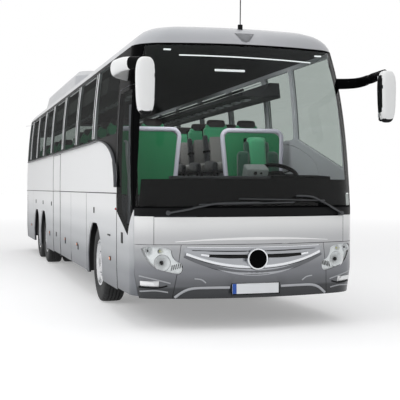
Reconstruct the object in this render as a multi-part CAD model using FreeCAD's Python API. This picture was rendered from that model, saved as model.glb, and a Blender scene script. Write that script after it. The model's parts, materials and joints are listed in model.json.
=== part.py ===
import FreeCAD
import Part
import math
import os
from FreeCAD import Vector

# A three-axle touring coach, modelled panel by panel, in millimetres.
# Stations are distances behind the front bumper, heights are above the ground.
# The front faces -Y, +X is the driver's side, the doors are on the -X side.

# Driving dimensions of the whole vehicle
front_overhang = 2770.0
wheelbase = 6340.0
tag_spacing = 1350.0
rear_overhang = 2655.0
body_width = 2550.0
mirror_lead = 600.0
mirror_reach = 1475.0
length = front_overhang + wheelbase + tag_spacing + rear_overhang
half_width = body_width / 2
middle = (length - mirror_lead) / 2
front_axle_s = front_overhang
drive_axle_s = front_axle_s + wheelbase
tag_axle_s = drive_axle_s + tag_spacing

# Heights
sill_z = 330.0
chin_z = 600.0
bumper_top_z = 897.0
lid_foot_z = 900.0
hood_top_z = 1187.0
cowl_z = 1280.0
deck_z = 1380.0
trim_z = 1430.0
lid_top_z = 1950.0
belt_z = 2090.0
brow_z = 2600.0
glass_top_z = 3060.0
roof_z = 3400.0
pod_top_z = 3680.0
platform_z = 1020.0

# Plan curves of the nose and tail, and how far the body leans in above the belt
front_bow = 3300.0
front_corner = 350.0
rear_bow = 6000.0
rear_corner = 250.0
lean_belt = 10.0
lean_brow = 43.0
lean_top = 95.0
tuck = 12.0
rake_sill = 75.0
rake_chin = 10.0
rake_belt = 112.0
rake_brow = 215.0
rake_top = 370.0
tail_sill = 25.0
tail_belt = 20.0
tail_brow = 55.0
tail_top = 110.0
dome_length = 1900.0
dome_tail = 700.0

# Thicknesses, gaps and one overrun for all cuts
wall = 45.0
leaf_wall = 50.0
hood_wall = 14.0
plate = 20.0
floor_plate = 40.0
glass = 12.0
glass_sink = 2.0
seat_gap = 0.3
panel_gap = 5.0
shut_gap = 6.0
door_gap = 9.0
hood_gap = 12.0
overrun = 60.0

# Standing distance of stairs, beams and frames from the ends of what they serve
margin = 60.0

# Doors, flaps and panels along the side
corner_s = 360.0
corner_top_s = 585.0
door_end_s = 1180.0
front_door_top_z = 2600.0
step_s = 2050.0
front_panel_end_s = 3455.0
rear_panel_s = 8315.0
rear_panel_end_s = 11250.0
tail_panel_s = 12850.0
mid_door_s = 6430.0
mid_door_end_s = 7370.0
mid_door_top_z = 2060.0
flap_split_s = 5040.0
left_split_s = 6610.0
post_width = 70.0

# Wheels and axles
wheel_radius = 510.0
tyre_width = 290.0
tyre_shoulder = 30.0
bead_radius = 288.0
rim_radius = 300.0
rim_wall = 14.0
wheel_plane_x = 1070.0
twin_spacing = 330.0
spindle_radius = 45.0
hub_clearance = 0.3
disc_wall = 16.0
hub_radius = 130.0
kingpin_x = 880.0
kingpin_radius = 18.0
pin_clearance = 0.3
arch_radius = 620.0
arch_top_z = 1035.0
well_top_z = 1100.0
well_inner_x = 560.0

hand_hole_radius = 28.0
hand_hole_circle = 205.0
hand_holes = 10

# Side glazing
window_foot = 30.0
window_head = 45.0
window_corner = 60.0
first_pillar_s = 2970.0
long_pitch = 1640.0
short_pitch = 1370.0
pillar_width = 90.0
first_window_s = 1270.0
last_window_s = 12700.0
driver_window_s = 520.0
driver_window_end_s = 1900.0
driver_window_foot_z = 1700.0

# Curved front top corner of the white side panel
shoulder_peak_s = 2590.0
shoulder_mid_s = 1620.0
shoulder_mid_z = 1935.0
shoulder_low_s = 1330.0
shoulder_low_z = 1820.0
shoulder_knee_s = 1222.0
shoulder_knee_z = 1690.0
shoulder_foot_z = 1520.0

os.makedirs("parts", exist_ok=True)


def y(s):
    """Turn a station behind the front bumper into the model's Y."""
    return s - middle


def save(name, shape):
    """Write one sub-part."""
    shape.exportStep("parts/" + name + ".step")


def block(x0, x1, s0, s1, z0, z1):
    """A box between two widths, two stations and two heights."""
    return Part.makeBox(x1 - x0, s1 - s0, z1 - z0, Vector(x0, y(s0), z0))


def fused(shapes):
    """Join shapes into one, without leftover seams."""
    return shapes[0].multiFuse(shapes[1:]).removeSplitter() if len(shapes) > 1 else shapes[0]


def prism_x(points, x0, x1):
    """Extrude an outline of (station, height) points across the vehicle."""
    wire = Part.makePolygon([Vector(x0, y(s), z) for s, z in points + points[:1]])
    return Part.Face(wire).extrude(Vector(x1 - x0, 0, 0))


def prism_y(points, s0, s1):
    """Extrude an outline of (width, height) points along the vehicle."""
    wire = Part.makePolygon([Vector(x, y(s0), z) for x, z in points + points[:1]])
    return Part.Face(wire).extrude(Vector(0, s1 - s0, 0))


def rod(start, end, radius):
    """A round bar between two (x, station, z) points."""
    a = Vector(start[0], y(start[1]), start[2])
    b = Vector(end[0], y(end[1]), end[2])
    return Part.makeCylinder(radius, (b - a).Length, a, b - a)


def revolved_x(points, x, s, z, side):
    """Revolve an outline of (outboard offset, radius) points about an axle line."""
    vectors = [Vector(side * dx + x, y(s), z + r) for dx, r in points]
    face = Part.Face(Part.makePolygon(vectors + vectors[:1]))
    return face.revolve(Vector(x, y(s), z), Vector(1, 0, 0), 360)


# The body's envelope

def end_curve(half, edge, bow, corner, inset, sign):
    """Points of one end of a plan outline: apex, junction, middle of the corner, side."""
    bow_s = edge + sign * bow
    dx = (half - corner) / (bow - corner)
    ds = -sign * math.sqrt(1 - dx * dx)
    corner_s0 = bow_s + ds * (bow - corner)
    angle = math.atan2(ds, dx) / 2
    reach = corner - inset
    junction = (dx * (bow - inset), bow_s + ds * (bow - inset))
    middle_point = (half - corner + reach * math.cos(angle), corner_s0 + reach * math.sin(angle))
    return (0, edge + sign * inset), junction, middle_point, (half - inset, corner_s0)


def plan_wire(z, half, nose, tail, inset):
    """A closed plan outline of the body at one height."""
    front = end_curve(half, nose, front_bow, front_corner, inset, 1)
    rear = end_curve(half, length - tail, rear_bow, rear_corner, inset, -1)

    def at(point, side):
        return Vector(side * point[0], y(point[1]), z)

    def arc(a, b, c):
        return Part.Arc(a, b, c).toShape()

    edges = [
        arc(at(front[1], -1), at(front[0], 1), at(front[1], 1)),
        arc(at(front[1], 1), at(front[2], 1), at(front[3], 1)),
        Part.makeLine(at(front[3], 1), at(rear[3], 1)),
        arc(at(rear[3], 1), at(rear[2], 1), at(rear[1], 1)),
        arc(at(rear[1], 1), at(rear[0], 1), at(rear[1], -1)),
        arc(at(rear[1], -1), at(rear[2], -1), at(rear[3], -1)),
        Part.makeLine(at(rear[3], -1), at(front[3], -1)),
        arc(at(front[3], -1), at(front[2], -1), at(front[1], -1)),
    ]
    return Part.Wire(edges)


lower_levels = [
    (sill_z, half_width - tuck, rake_sill, tail_sill),
    (chin_z, half_width, rake_chin, 0),
    (cowl_z, half_width, 0, 0),
]
upper_levels = [
    (cowl_z, half_width, 0, 0),
    (belt_z, half_width - lean_belt, rake_belt, tail_belt),
    (brow_z, half_width - lean_brow, rake_brow, tail_brow),
    (glass_top_z, half_width - lean_top, rake_top, tail_top),
]
# Roof levels: shares of the roof's rise, of its half width, and of the dome's length
roof_shares = [
    (0, 1.0, 0),
    (0.13, 0.982, 0.004),
    (0.26, 0.955, 0.013),
    (0.38, 0.92, 0.03),
    (0.50, 0.873, 0.06),
    (0.62, 0.81, 0.12),
    (0.73, 0.735, 0.22),
    (0.83, 0.645, 0.36),
    (0.92, 0.53, 0.56),
    (0.98, 0.42, 0.8),
    (1.0, 0.335, 1.0),
]

envelopes = {}


def envelope(inset):
    """The body below the roof as a solid, its skin moved in by an inset."""
    if inset not in envelopes:
        lower = Part.makeLoft([plan_wire(*level, inset) for level in lower_levels], True, True)
        upper = Part.makeLoft([plan_wire(*level, inset) for level in upper_levels], True, False)
        envelopes[inset] = lower.fuse(upper)
    return envelopes[inset]


def skin(region, outer, inner):
    """The part of the body's skin that lies in a region, between two insets."""
    return envelope(outer).common(region).cut(envelope(inner))


def roof_solid(inset):
    """The roof as a solid, lowered and narrowed by an inset."""
    rise = roof_z - glass_top_z
    top_half = half_width - lean_top
    wires = []
    for rise_share, half_share, dome_share in roof_shares:
        z = glass_top_z + rise * rise_share - inset * rise_share
        half = top_half * half_share
        nose = rake_top + dome_length * dome_share
        tail = tail_top + dome_tail * dome_share
        wires.append(plan_wire(z, half, nose, tail, inset * (1 - rise_share)))
    return Part.makeLoft(wires, True, True)


def side_region(points, side):
    """A prism through one side wall from an outline of (station, height) points."""
    return prism_x(points, side * (half_width - lean_top - wall - overrun), side * (half_width + overrun))


def rounded(s0, s1, z0, z1, radius, x0, x1):
    """A prism across the vehicle with a round-cornered outline."""
    slab = block(min(x0, x1), max(x0, x1), s0, s1, z0, z1)
    edges = [e for e in slab.Edges if abs(e.Vertexes[0].X - e.Vertexes[1].X) > seat_gap]
    return slab.makeFillet(radius, edges)


def arch_cut(axle_s, side):
    """The opening over a wheel: round at its ends, flat at its top."""
    x0 = side * (half_width - wall - overrun)
    x1 = side * (half_width + overrun)
    tube = Part.makeCylinder(arch_radius, abs(x1 - x0), Vector(min(x0, x1), y(axle_s), wheel_radius),
                             Vector(1, 0, 0))
    legs = block(min(x0, x1), max(x0, x1), axle_s - arch_radius, axle_s + arch_radius,
                 sill_z - overrun, wheel_radius)
    room = block(min(x0, x1), max(x0, x1), axle_s - arch_radius, axle_s + arch_radius,
                 sill_z - overrun, arch_top_z)
    return tube.fuse(legs).common(room)


def slant_s(z):
    """Station of the slanted line between the windscreen and the side, at a height."""
    if z <= cowl_z:
        return corner_s
    return corner_s + (corner_top_s - corner_s) * (z - cowl_z) / (glass_top_z - cowl_z)


# Fixed outer panels

def skirts():
    """Fixed lower panels: around the arches, the tail corners and the posts by the middle door."""
    top = trim_z - shut_gap
    spans = [
        (-1, door_end_s + door_gap, front_panel_end_s),
        (1, corner_s + panel_gap, front_panel_end_s),
        (-1, mid_door_s - door_gap - post_width, mid_door_s - door_gap),
        (-1, mid_door_end_s + door_gap, rear_panel_end_s),
        (1, rear_panel_s, rear_panel_end_s),
        (-1, rear_panel_end_s + shut_gap, tail_panel_s),
        (1, rear_panel_end_s + shut_gap, tail_panel_s),
    ]
    pieces = []
    for side, s0, s1 in spans:
        panel = skin(side_region([(s0, sill_z), (s1, sill_z), (s1, top), (s0, top)], side), 0, wall)
        if s0 < door_end_s:
            panel = panel.cut(front_slab(cowl_z, glass_top_z))
        for axle_s in (front_axle_s, drive_axle_s, tag_axle_s):
            if s0 < axle_s < s1:
                panel = panel.cut(arch_cut(axle_s, side))
        pieces.append(panel)
    save("skirts", Part.Compound(pieces))


def shoulder_face(side, grow):
    """Outline of the white side panel in (station, height), as a prism through the wall."""
    x0 = side * (half_width - lean_top - wall - overrun)
    foot_s = door_end_s + door_gap - grow

    def at(s, z):
        return Vector(x0, y(s), z)

    foot = at(foot_s, trim_z + shut_gap - grow)
    knee = at(foot_s, shoulder_foot_z)
    low = at(shoulder_low_s - grow, shoulder_low_z + grow)
    peak = at(shoulder_peak_s - grow, belt_z - panel_gap + grow)
    end_top = at(tail_panel_s, belt_z - panel_gap + grow)
    end_foot = at(tail_panel_s, trim_z + shut_gap - grow)
    edges = [
        Part.makeLine(foot, knee),
        Part.Arc(knee, at(shoulder_knee_s - grow, shoulder_knee_z + grow), low).toShape(),
        Part.Arc(low, at(shoulder_mid_s - grow, shoulder_mid_z + grow), peak).toShape(),
        Part.makeLine(peak, end_top),
        Part.makeLine(end_top, end_foot),
        Part.makeLine(end_foot, foot),
    ]
    depth = half_width + overrun - abs(x0)
    return Part.Face(Part.Wire(edges)).extrude(Vector(side * depth, 0, 0))


def side_panels():
    """White side panels between the trim line and the belt, cut for the middle door."""
    pieces = []
    for side in (-1, 1):
        panel = skin(shoulder_face(side, 0), 0, wall)
        if side < 0:
            door = side_region(door_outline(mid_door_s, mid_door_end_s, mid_door_top_z, door_gap), side)
            panel = panel.cut(door)
        pieces.append(panel)
    save("side_panels", Part.Compound(pieces))


def door_outline(s0, s1, top_z, grow):
    """Outline of a door, grown by a gap, open below the sill."""
    return [(s0 - grow, sill_z - overrun), (s1 + grow, sill_z - overrun),
            (s1 + grow, top_z + grow), (s0 - grow, top_z + grow)]


def window_spans():
    """Start and end stations of the passenger windows, from the door to the tail."""
    pillars = [first_pillar_s]
    for pitch in (long_pitch,) * 3 + (short_pitch,) * 3:
        pillars.append(pillars[-1] + pitch)
    starts = [first_window_s] + [s + pillar_width / 2 for s in pillars]
    ends = [s - pillar_width / 2 for s in pillars] + [last_window_s]
    return list(zip(starts, ends))


def window_cut(s0, s1, side, shrink):
    """The opening of one side window, or its pane when shrunk."""
    x0 = side * (half_width - lean_top - wall - overrun)
    x1 = side * (half_width + overrun)
    return rounded(s0 + shrink, s1 - shrink, belt_z + window_foot + shrink,
                   glass_top_z - window_head - shrink, window_corner - shrink, x0, x1)


def driver_window(side, shrink):
    """The driver's side window, with a low front part."""
    head = glass_top_z - window_head - shrink
    points = [(driver_window_s + shrink, driver_window_foot_z + shrink),
              (driver_window_end_s - shrink, belt_z + window_foot + shrink),
              (driver_window_end_s - shrink, head),
              (slant_s(head) + window_corner + shrink, head)]
    return side_region(points, side)


def window_bands():
    """Dark upper walls that carry the side glass, down to the door's rear post."""
    pieces = []
    for side in (-1, 1):
        outline = [(slant_s(trim_z) + panel_gap, trim_z + shut_gap), (tail_panel_s, trim_z + shut_gap),
                   (tail_panel_s, glass_top_z), (slant_s(glass_top_z) + panel_gap, glass_top_z)]
        band = skin(side_region(outline, side), 0, wall)
        band = band.cut(shoulder_face(side, panel_gap))
        if side < 0:
            gap = door_outline(0, door_end_s, front_door_top_z, door_gap)
            band = band.cut(side_region(gap, side))
            spans = window_spans()
        else:
            band = band.cut(driver_window(side, 0))
            spans = [(driver_window_end_s + pillar_width, window_spans()[0][1])] + window_spans()[1:]
        for s0, s1 in spans:
            band = band.cut(window_cut(s0, s1, side, 0))
        pieces.append(band)
    save("window_bands", Part.Compound(pieces))


def rear_window_cut(shrink):
    """Prism of the rear window, drawn across the tail."""
    half = rear_window_half - shrink
    low = belt_z + window_foot + shrink
    high = glass_top_z - window_head - shrink
    slab = block(-half, half, length - rear_corner - rear_corner, length + overrun, low, high)
    edges = [e for e in slab.Edges if abs(e.Vertexes[0].Y - e.Vertexes[1].Y) > seat_gap]
    return slab.makeFillet(window_corner - shrink, edges)


rear_window_half = 950.0
lid_half = 860.0
lid_gap = 10.0
tail_lamp_half = 60.0
tail_lamp_x = 1060.0
tail_lamp_foot_z = 930.0
tail_lamp_top_z = 1700.0
rear_bumper_top_z = 830.0


def glazing():
    """Side and rear panes, set in their openings with an even gap."""
    panes = []
    for side in (-1, 1):
        if side < 0:
            spans = window_spans()
        else:
            panes.append(skin(driver_window(side, seat_gap), glass_sink, glass_sink + glass))
            spans = [(driver_window_end_s + pillar_width, window_spans()[0][1])] + window_spans()[1:]
        for s0, s1 in spans:
            panes.append(skin(window_cut(s0, s1, side, seat_gap), glass_sink, glass_sink + glass))
    panes.append(skin(rear_window_cut(seat_gap), glass_sink, glass_sink + glass))
    save("glazing", Part.Compound(panes))


def nose_region(points):
    """A prism through the nose from an outline of (width, height) points."""
    return prism_y(points, -overrun, corner_top_s + overrun)


def front_slab(z0, z1):
    """Everything ahead of the slanted side line between two heights."""
    side = half_width + overrun
    points = [(-overrun, z0), (slant_s(z0), z0), (slant_s(z1), z1), (-overrun, z1)]
    if z0 < cowl_z < z1:
        points.insert(2, (slant_s(cowl_z), cowl_z))
    return prism_x(points, -side, side)


def windscreen():
    """One curved pane from the cowl to the roof."""
    save("windscreen", skin(front_slab(cowl_z + seat_gap, glass_top_z - seat_gap), glass_sink,
                            glass_sink + glass))


def cowl():
    """Dark band under the windscreen."""
    save("cowl", skin(front_slab(hood_top_z + hood_gap, cowl_z), 0, wall))


hood_half = 1070.0
hood_foot_z = 903.0


def hood_outline():
    """Outline of the front service flap, with upright sides so that it swings clear."""
    return [(-hood_half, hood_foot_z), (hood_half, hood_foot_z), (hood_half, hood_top_z),
            (-hood_half, hood_top_z)]


def front_mask():
    """Corner panels beside the front service flap."""
    slab = skin(front_slab(bumper_top_z + panel_gap, hood_top_z + hood_gap - panel_gap), 0, wall)
    reach = hood_half + panel_gap + seat_gap
    save("front_mask", slab.cut(block(-reach, reach, -overrun, corner_s, bumper_top_z, cowl_z)))


def front_flap():
    """The front service flap, a thin moulded panel."""
    save("front_flap", skin(nose_region(hood_outline()), 0, hood_wall))


# Lamps, grille and bumper, outlined from the front

corner_share = 0.25
# Headlamp corners: width, height, and the way each moves when the outline grows
lamp_points = [
    (1200, 886, 1, 1), (1168, 796, 1, 0), (1118, 706, 1, -1), (1040, 645, 0, -1), (900, 606, 0, -1),
    (792, 586, -1, -1), (776, 700, -1, 1), (850, 722, -1, 1), (893, 790, -1, 0), (896, 866, -1, 1),
]

def softened(points):
    """A closed outline with its corners cut twice, so that it reads as a curve."""
    for _ in (0, 1):
        soft = []
        for (x0, z0), (x1, z1) in zip(points, points[1:] + points[:1]):
            soft.append((x0 + (x1 - x0) * corner_share, z0 + (z1 - z0) * corner_share))
            soft.append((x1 + (x0 - x1) * corner_share, z1 + (z0 - z1) * corner_share))
        points = soft
    return points


def lamp_outline(side, grow):
    """Headlamp outline in (width, height): a swept shape with a long inner toe."""
    points = [(x + grow * out_x, z + grow * out_z) for x, z, out_x, out_z in lamp_points]
    return [(side * x, z) for x, z in softened(points)]


def smile(half, top, low, head, grow):
    """A smile-shaped outline under a straight head, as a prism through the nose."""
    def at(x, z):
        return Vector(x, y(-overrun), z)

    side = half + grow
    edges = [Part.Arc(at(-side, top), at(0, low - grow), at(side, top)).toShape(),
             Part.makeLine(at(side, top), at(side, top + head + grow)),
             Part.makeLine(at(side, top + head + grow), at(-side, top + head + grow)),
             Part.makeLine(at(-side, top + head + grow), at(-side, top))]
    return Part.Face(Part.Wire(edges)).extrude(Vector(0, corner_s + overrun, 0))


grille_half = 780.0
grille_top_z = 838.0
grille_low_z = 566.0
grille_head = 26.0
grille_wall = 30.0
slot_half = 518.0
# Grille slots: top, foot, how far they follow the smile, and their reach over the slot's half width
grille_slots = [(832, 822, 0.0, 1.3), (808, 776, 0.06, 1.0), (762, 752, 0.2, 1.0), (838, 824, 0.62, 1.0)]
smile_steps = 6
slot_inner = 112.0
badge_radius = 116.0
badge_z = 745.0
badge_wall = 26.0
badge_stand = 14.0
fog_x0 = 1010.0
fog_x1 = 1190.0
fog_z0 = 455.0
fog_z1 = 520.0
split_top_x = 790.0
split_low_x = 880.0
plate_half = 265.0
plate_z0 = 370.0
plate_z1 = 490.0
plate_sink = 8.0


def grille_field(grow):
    """The grille's whole outline."""
    return smile(grille_half, grille_top_z, grille_low_z, grille_head, grow)


def band_shape(x0, x1, top, low, depth_share, side):
    """A bar or slot that follows the smile: its height falls towards the middle."""
    stations = [x0 + (x1 - x0) * i / smile_steps for i in range(smile_steps + 1)]
    points = [(side * x, top - depth_share * bowl(x)) for x in stations]
    points += [(side * x, low - depth_share * bowl(x)) for x in reversed(stations)]
    return nose_region(points)


def bowl(x):
    """How far the smile curve lies under its ends at a width."""
    return (grille_top_z - grille_low_z) * (1 - (x / grille_half) ** 2)


def grille():
    """Bright slatted grille with a plain round boss in its middle."""
    body = skin(grille_field(-seat_gap), -glass_sink, grille_wall)
    for side in (-1, 1):
        for top, low, share, reach in grille_slots:
            body = body.cut(band_shape(slot_inner, slot_half * reach, top, low, share, side))
    hole = rod((0, -overrun, badge_z), (0, corner_s, badge_z), badge_radius + panel_gap)
    disc = rod((0, -badge_stand, badge_z), (0, grille_wall, badge_z), badge_radius)
    rim = rod((0, -badge_stand - overrun, badge_z), (0, -badge_stand / 2, badge_z),
              badge_radius - badge_wall)
    body = body.cut(hole).fuse(disc.cut(rim))
    bridge = block(-badge_radius - margin / 2, badge_radius + margin / 2, 0, grille_wall,
                   badge_z - plate, badge_z + plate)
    save("grille", body.fuse(bridge.common(envelope(plate / 2))))


def bumper():
    """Bumper centre and corners, open for the grille and lamps, with a plate recess."""
    slab = skin(front_slab(sill_z, bumper_top_z), 0, wall)
    recess = nose_region([(-plate_half, plate_z0), (plate_half, plate_z0),
                          (plate_half, plate_z1), (-plate_half, plate_z1)])
    cutters = [grille_field(0), recess.cut(envelope(plate_sink))]
    for side in (-1, 1):
        cutters.append(nose_region(lamp_outline(side, 0)))
        cutters.append(nose_region([(side * fog_x0, fog_z0), (side * fog_x1, fog_z0),
                                    (side * fog_x1, fog_z1), (side * fog_x0, fog_z1)]))
        cutters.append(nose_region([(side * split_low_x, sill_z - overrun),
                                    (side * (split_low_x + panel_gap), sill_z - overrun),
                                    (side * (split_top_x + panel_gap), bumper_top_z + overrun),
                                    (side * split_top_x, bumper_top_z + overrun)]))
    for cutter in cutters:
        slab = slab.cut(cutter)
    save("bumper", slab)


lamp_depth = 110.0
lamp_wall = 8.0
# Reflector bowls of a headlamp: width, height, station of the mouth, radius and depth
lamp_bowls = [(985, 708, 190, 88, 110), (1122, 832, 240, 42, 55), (1004, 830, 200, 28, 55)]
bowl_share = 0.5


def headlamps():
    """Headlamp housings with round reflector bowls, and the fog lamps' boxes."""
    pieces = []
    for side in (-1, 1):
        body = skin(nose_region(lamp_outline(side, -seat_gap)), glass_sink + glass + lamp_wall,
                    lamp_depth + wall)
        for x, z, s, radius, depth in lamp_bowls:
            bowl_cone = Part.makeCone(radius, radius * bowl_share, depth, Vector(side * x, y(s), z),
                                      Vector(0, 1, 0))
            body = body.cut(bowl_cone).cut(rod((side * x, -overrun, z), (side * x, s, z), radius))
        pieces.append(body)
        fog = nose_region([(side * (fog_x0 + seat_gap), fog_z0 + seat_gap),
                           (side * (fog_x1 - seat_gap), fog_z0 + seat_gap),
                           (side * (fog_x1 - seat_gap), fog_z1 - seat_gap),
                           (side * (fog_x0 + seat_gap), fog_z1 - seat_gap)])
        pieces.append(skin(fog, plate, wall))
    behind = block(-half_width, half_width, corner_s - plate - panel_gap, length, sill_z, belt_z)
    save("headlamps", Part.Compound([piece.cut(behind) for piece in pieces]))


def lamp_lenses():
    """Clear covers over the headlamps."""
    pieces = [skin(nose_region(lamp_outline(side, -seat_gap)), glass_sink, glass_sink + lamp_wall)
              for side in (-1, 1)]
    save("lamp_lenses", Part.Compound(pieces))


# Rear end

def tail_region(x0, x1, z0, z1):
    """A box through the tail."""
    return block(x0, x1, tail_panel_s, length + overrun, z0, z1)


def lamp_slot(side, grow):
    """Where a tail lamp sits in the rear wall."""
    return block(min(side * (tail_lamp_x - tail_lamp_half), side * (tail_lamp_x + tail_lamp_half)) - grow,
                 max(side * (tail_lamp_x - tail_lamp_half), side * (tail_lamp_x + tail_lamp_half)) + grow,
                 tail_panel_s, length + overrun, tail_lamp_foot_z - grow, tail_lamp_top_z + grow)


def rear_wall():
    """Rear wall with its window, lid opening and lamp slots."""
    region = block(-half_width - overrun, half_width + overrun, tail_panel_s + panel_gap,
                   length + overrun, rear_bumper_top_z + panel_gap, glass_top_z)
    panel = skin(region, 0, wall).cut(rear_window_cut(0))
    panel = panel.cut(block(-lid_half - shut_gap, lid_half + shut_gap, tail_panel_s, length + overrun,
                            lid_foot_z - lid_gap, lid_top_z + hood_gap))
    for side in (-1, 1):
        panel = panel.cut(lamp_slot(side, 0))
    save("rear_wall", panel)


def rear_bumper():
    """Rear bumper: two sides and a raised middle that leaves the towing socket free."""
    foot = tow_z + tow_notch_half
    region = block(-half_width - overrun, half_width + overrun, tail_panel_s + panel_gap,
                   length + overrun, sill_z, rear_bumper_top_z)
    panel = skin(region, 0, wall)
    pieces = [panel.common(tail_region(-tow_notch_half, tow_notch_half, foot, rear_bumper_top_z))]
    for side in (-1, 1):
        x0 = min(side * (tow_notch_half + seat_gap), side * (half_width + overrun))
        x1 = max(side * (tow_notch_half + seat_gap), side * (half_width + overrun))
        pieces.append(panel.common(tail_region(x0, x1, sill_z, rear_bumper_top_z)))
    save("rear_bumper", Part.Compound(pieces))


def tail_lamps():
    """Upright tail lamps, flush with the rear wall."""
    pieces = [skin(lamp_slot(side, -seat_gap), 0, wall) for side in (-1, 1)]
    save("tail_lamps", Part.Compound(pieces))


def engine_lid():
    """Top-hinged lid over the engine, with louvre slots."""
    lid = skin(tail_region(-lid_half, lid_half, lid_foot_z, lid_top_z), 0, wall)
    for i in range(louvres):
        z = lid_foot_z + louvre_start + i * louvre_pitch
        lid = lid.cut(tail_region(-louvre_half, louvre_half, z, z + louvre_height))
    save("engine_lid", lid)


louvres = 6
louvre_start = 90.0
louvre_pitch = 60.0
louvre_height = 24.0
louvre_half = 600.0
tow_z = 500.0
tow_radius = 20.0
tow_depth = 90.0
tow_boss_radius = 48.0
tow_notch_half = 60.0
hinge_half = 110.0
hinge_set = 3.0


def face_s(z, sign):
    """Station of the body's front or rear face on the centreline, at a height."""
    line = Part.makeLine(Vector(0, y(-overrun), z), Vector(0, y(length + overrun), z))
    box = envelope(0).common(line).BoundBox
    return middle + (box.YMin if sign < 0 else box.YMax)


def hinge_rods():
    """Round trim rods that the luggage flaps hang from, and the barrels of the front flap and the lid."""
    radius = shut_gap - seat_gap
    spans = [(-1, door_end_s + door_gap, mid_door_s - door_gap),
             (-1, mid_door_end_s + door_gap, tail_panel_s),
             (1, corner_s + 3 * margin, tail_panel_s)]
    pieces = [rod((side * half_width, s0, trim_z), (side * half_width, s1, trim_z), radius)
              for side, s0, s1 in spans]
    for top_z, sign in ((hood_top_z, -1), (lid_top_z, 1)):
        z = top_z + shut_gap
        s = face_s(z, sign) - sign * hinge_set
        pieces.append(rod((-hinge_half, s, z), (hinge_half, s, z), radius))
    save("hinge_rods", Part.Compound(pieces))


def end_frames():
    """Curved steel bands, struts and corner posts behind the nose panels, and a band in the tail."""
    deep = frame_inset + plate
    low_top = bay_floor_z1 + wall
    mid_z = bumper_top_z - hood_gap
    post_top = hood_top_z + hood_gap
    reach = hood_half + hood_gap
    posts = skin(front_slab(bumper_top_z + seat_gap, post_top - seat_gap), frame_inset, deep)
    pieces = [
        skin(front_slab(bay_floor_z0, low_top), frame_inset, deep),
        skin(front_slab(mid_z, bumper_top_z), frame_inset, deep),
        skin(front_slab(post_top, cowl_z - seat_gap), frame_inset, deep),
        skin(block(-half_width, half_width, tail_panel_s - margin, length, rear_bumper_top_z - margin,
                   lid_foot_z - plate), frame_inset, deep),
    ]
    for side in (-1, 1):
        x0 = min(side * rail_x0, side * rail_x1)
        strut = block(x0, x0 + rail_x1 - rail_x0, 0, corner_s, low_top + seat_gap, mid_z - seat_gap)
        pieces.append(skin(strut, frame_inset, deep))
        corner = block(min(side * reach, side * half_width), max(side * reach, side * half_width),
                       0, corner_s, bumper_top_z, cowl_z)
        pieces.append(posts.common(corner))
    save("end_frames", Part.Compound(pieces))


def tow_socket():
    """Threaded towing socket on the tail beam."""
    face = length - rear_corner - wall
    boss = rod((0, face + seat_gap, tow_z), (0, face + tow_depth, tow_z), tow_boss_radius)
    save("tow_socket", boss.cut(rod((0, face, tow_z), (0, length, tow_z), tow_radius)))


# Roof

pod_s = 7000.0
pod_end_s = 12350.0
pod_half = 900.0
pod_intake_s = 5100.0
pod_lean = 160.0


def roof():
    """Roof shell with a rounded dome over the windscreen."""
    save("roof", roof_solid(0).cut(roof_solid(wall)))


def pod_level(s0, s1, half, z):
    """One rounded plan level of the roof pod."""
    slab = block(-half, half, s0, s1, z, z + plate)
    edges = [e for e in slab.Edges if abs(e.Vertexes[0].Z - e.Vertexes[1].Z) > seat_gap]
    rounded_slab = slab.makeFillet(half / 3, edges)
    low = min(rounded_slab.Faces, key=lambda f: f.CenterOfMass.z)
    return low.OuterWire


def roof_pod():
    """Air-conditioning pod, tapered to the rear, with a low intake fairing ahead."""
    base_z = roof_z - margin - wall
    low = pod_level(pod_s, pod_end_s, pod_half, base_z)
    mid = pod_level(pod_s + pod_lean, pod_end_s - 3 * pod_lean, pod_half - plate, (roof_z + pod_top_z) / 2)
    high = pod_level(pod_s + 4 * pod_lean, pod_end_s - 9 * pod_lean, pod_half - pod_lean, pod_top_z)
    pod = Part.makeLoft([low, mid, high], True, True)
    nose_low = pod_level(pod_intake_s, pod_s + overrun, pod_half, base_z)
    nose_high = pod_level(pod_intake_s + pod_lean, pod_s + overrun, pod_half - pod_lean, roof_z + wall)
    nose = Part.makeLoft([nose_low, nose_high], True, True)
    lifted = roof_solid(0).translated(Vector(0, 0, seat_gap))
    save("roof_pod", fused([pod, nose]).cut(lifted))


# Underframe, deck and axles

rail_x0 = 410.0
rail_x1 = 490.0
rail_z0 = 720.0
rail_z1 = 860.0
bay_floor_z0 = 345.0
bay_floor_z1 = 385.0
frame_inset = wall + seat_gap
door_inset = leaf_wall + shut_gap
stair_x = 450.0
bellows_radius = 80.0


def trimmed(inset, x0, x1, s0, s1, z0, z1):
    """A box cut back to the space inside the walls."""
    return block(x0, x1, s0, s1, z0, z1).common(envelope(inset))


def across(s0, s1, z0, z1):
    """A full-width box inside the walls."""
    return trimmed(frame_inset, -half_width, half_width, s0, s1, z0, z1)


def wheel_well(start_s, end_s, side):
    """Roof and inner wall of a wheel well."""
    x0 = min(side * well_inner_x, side * half_width)
    x1 = max(side * well_inner_x, side * half_width)
    wall_x0 = min(side * (well_inner_x - seat_gap), side * (well_inner_x - plate))
    wall_x1 = max(side * (well_inner_x - seat_gap), side * (well_inner_x - plate))
    return [trimmed(frame_inset, x0, x1, start_s, end_s, well_top_z, well_top_z + plate),
            block(wall_x0, wall_x1, start_s, end_s, rail_z0, well_top_z + plate)]


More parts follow.
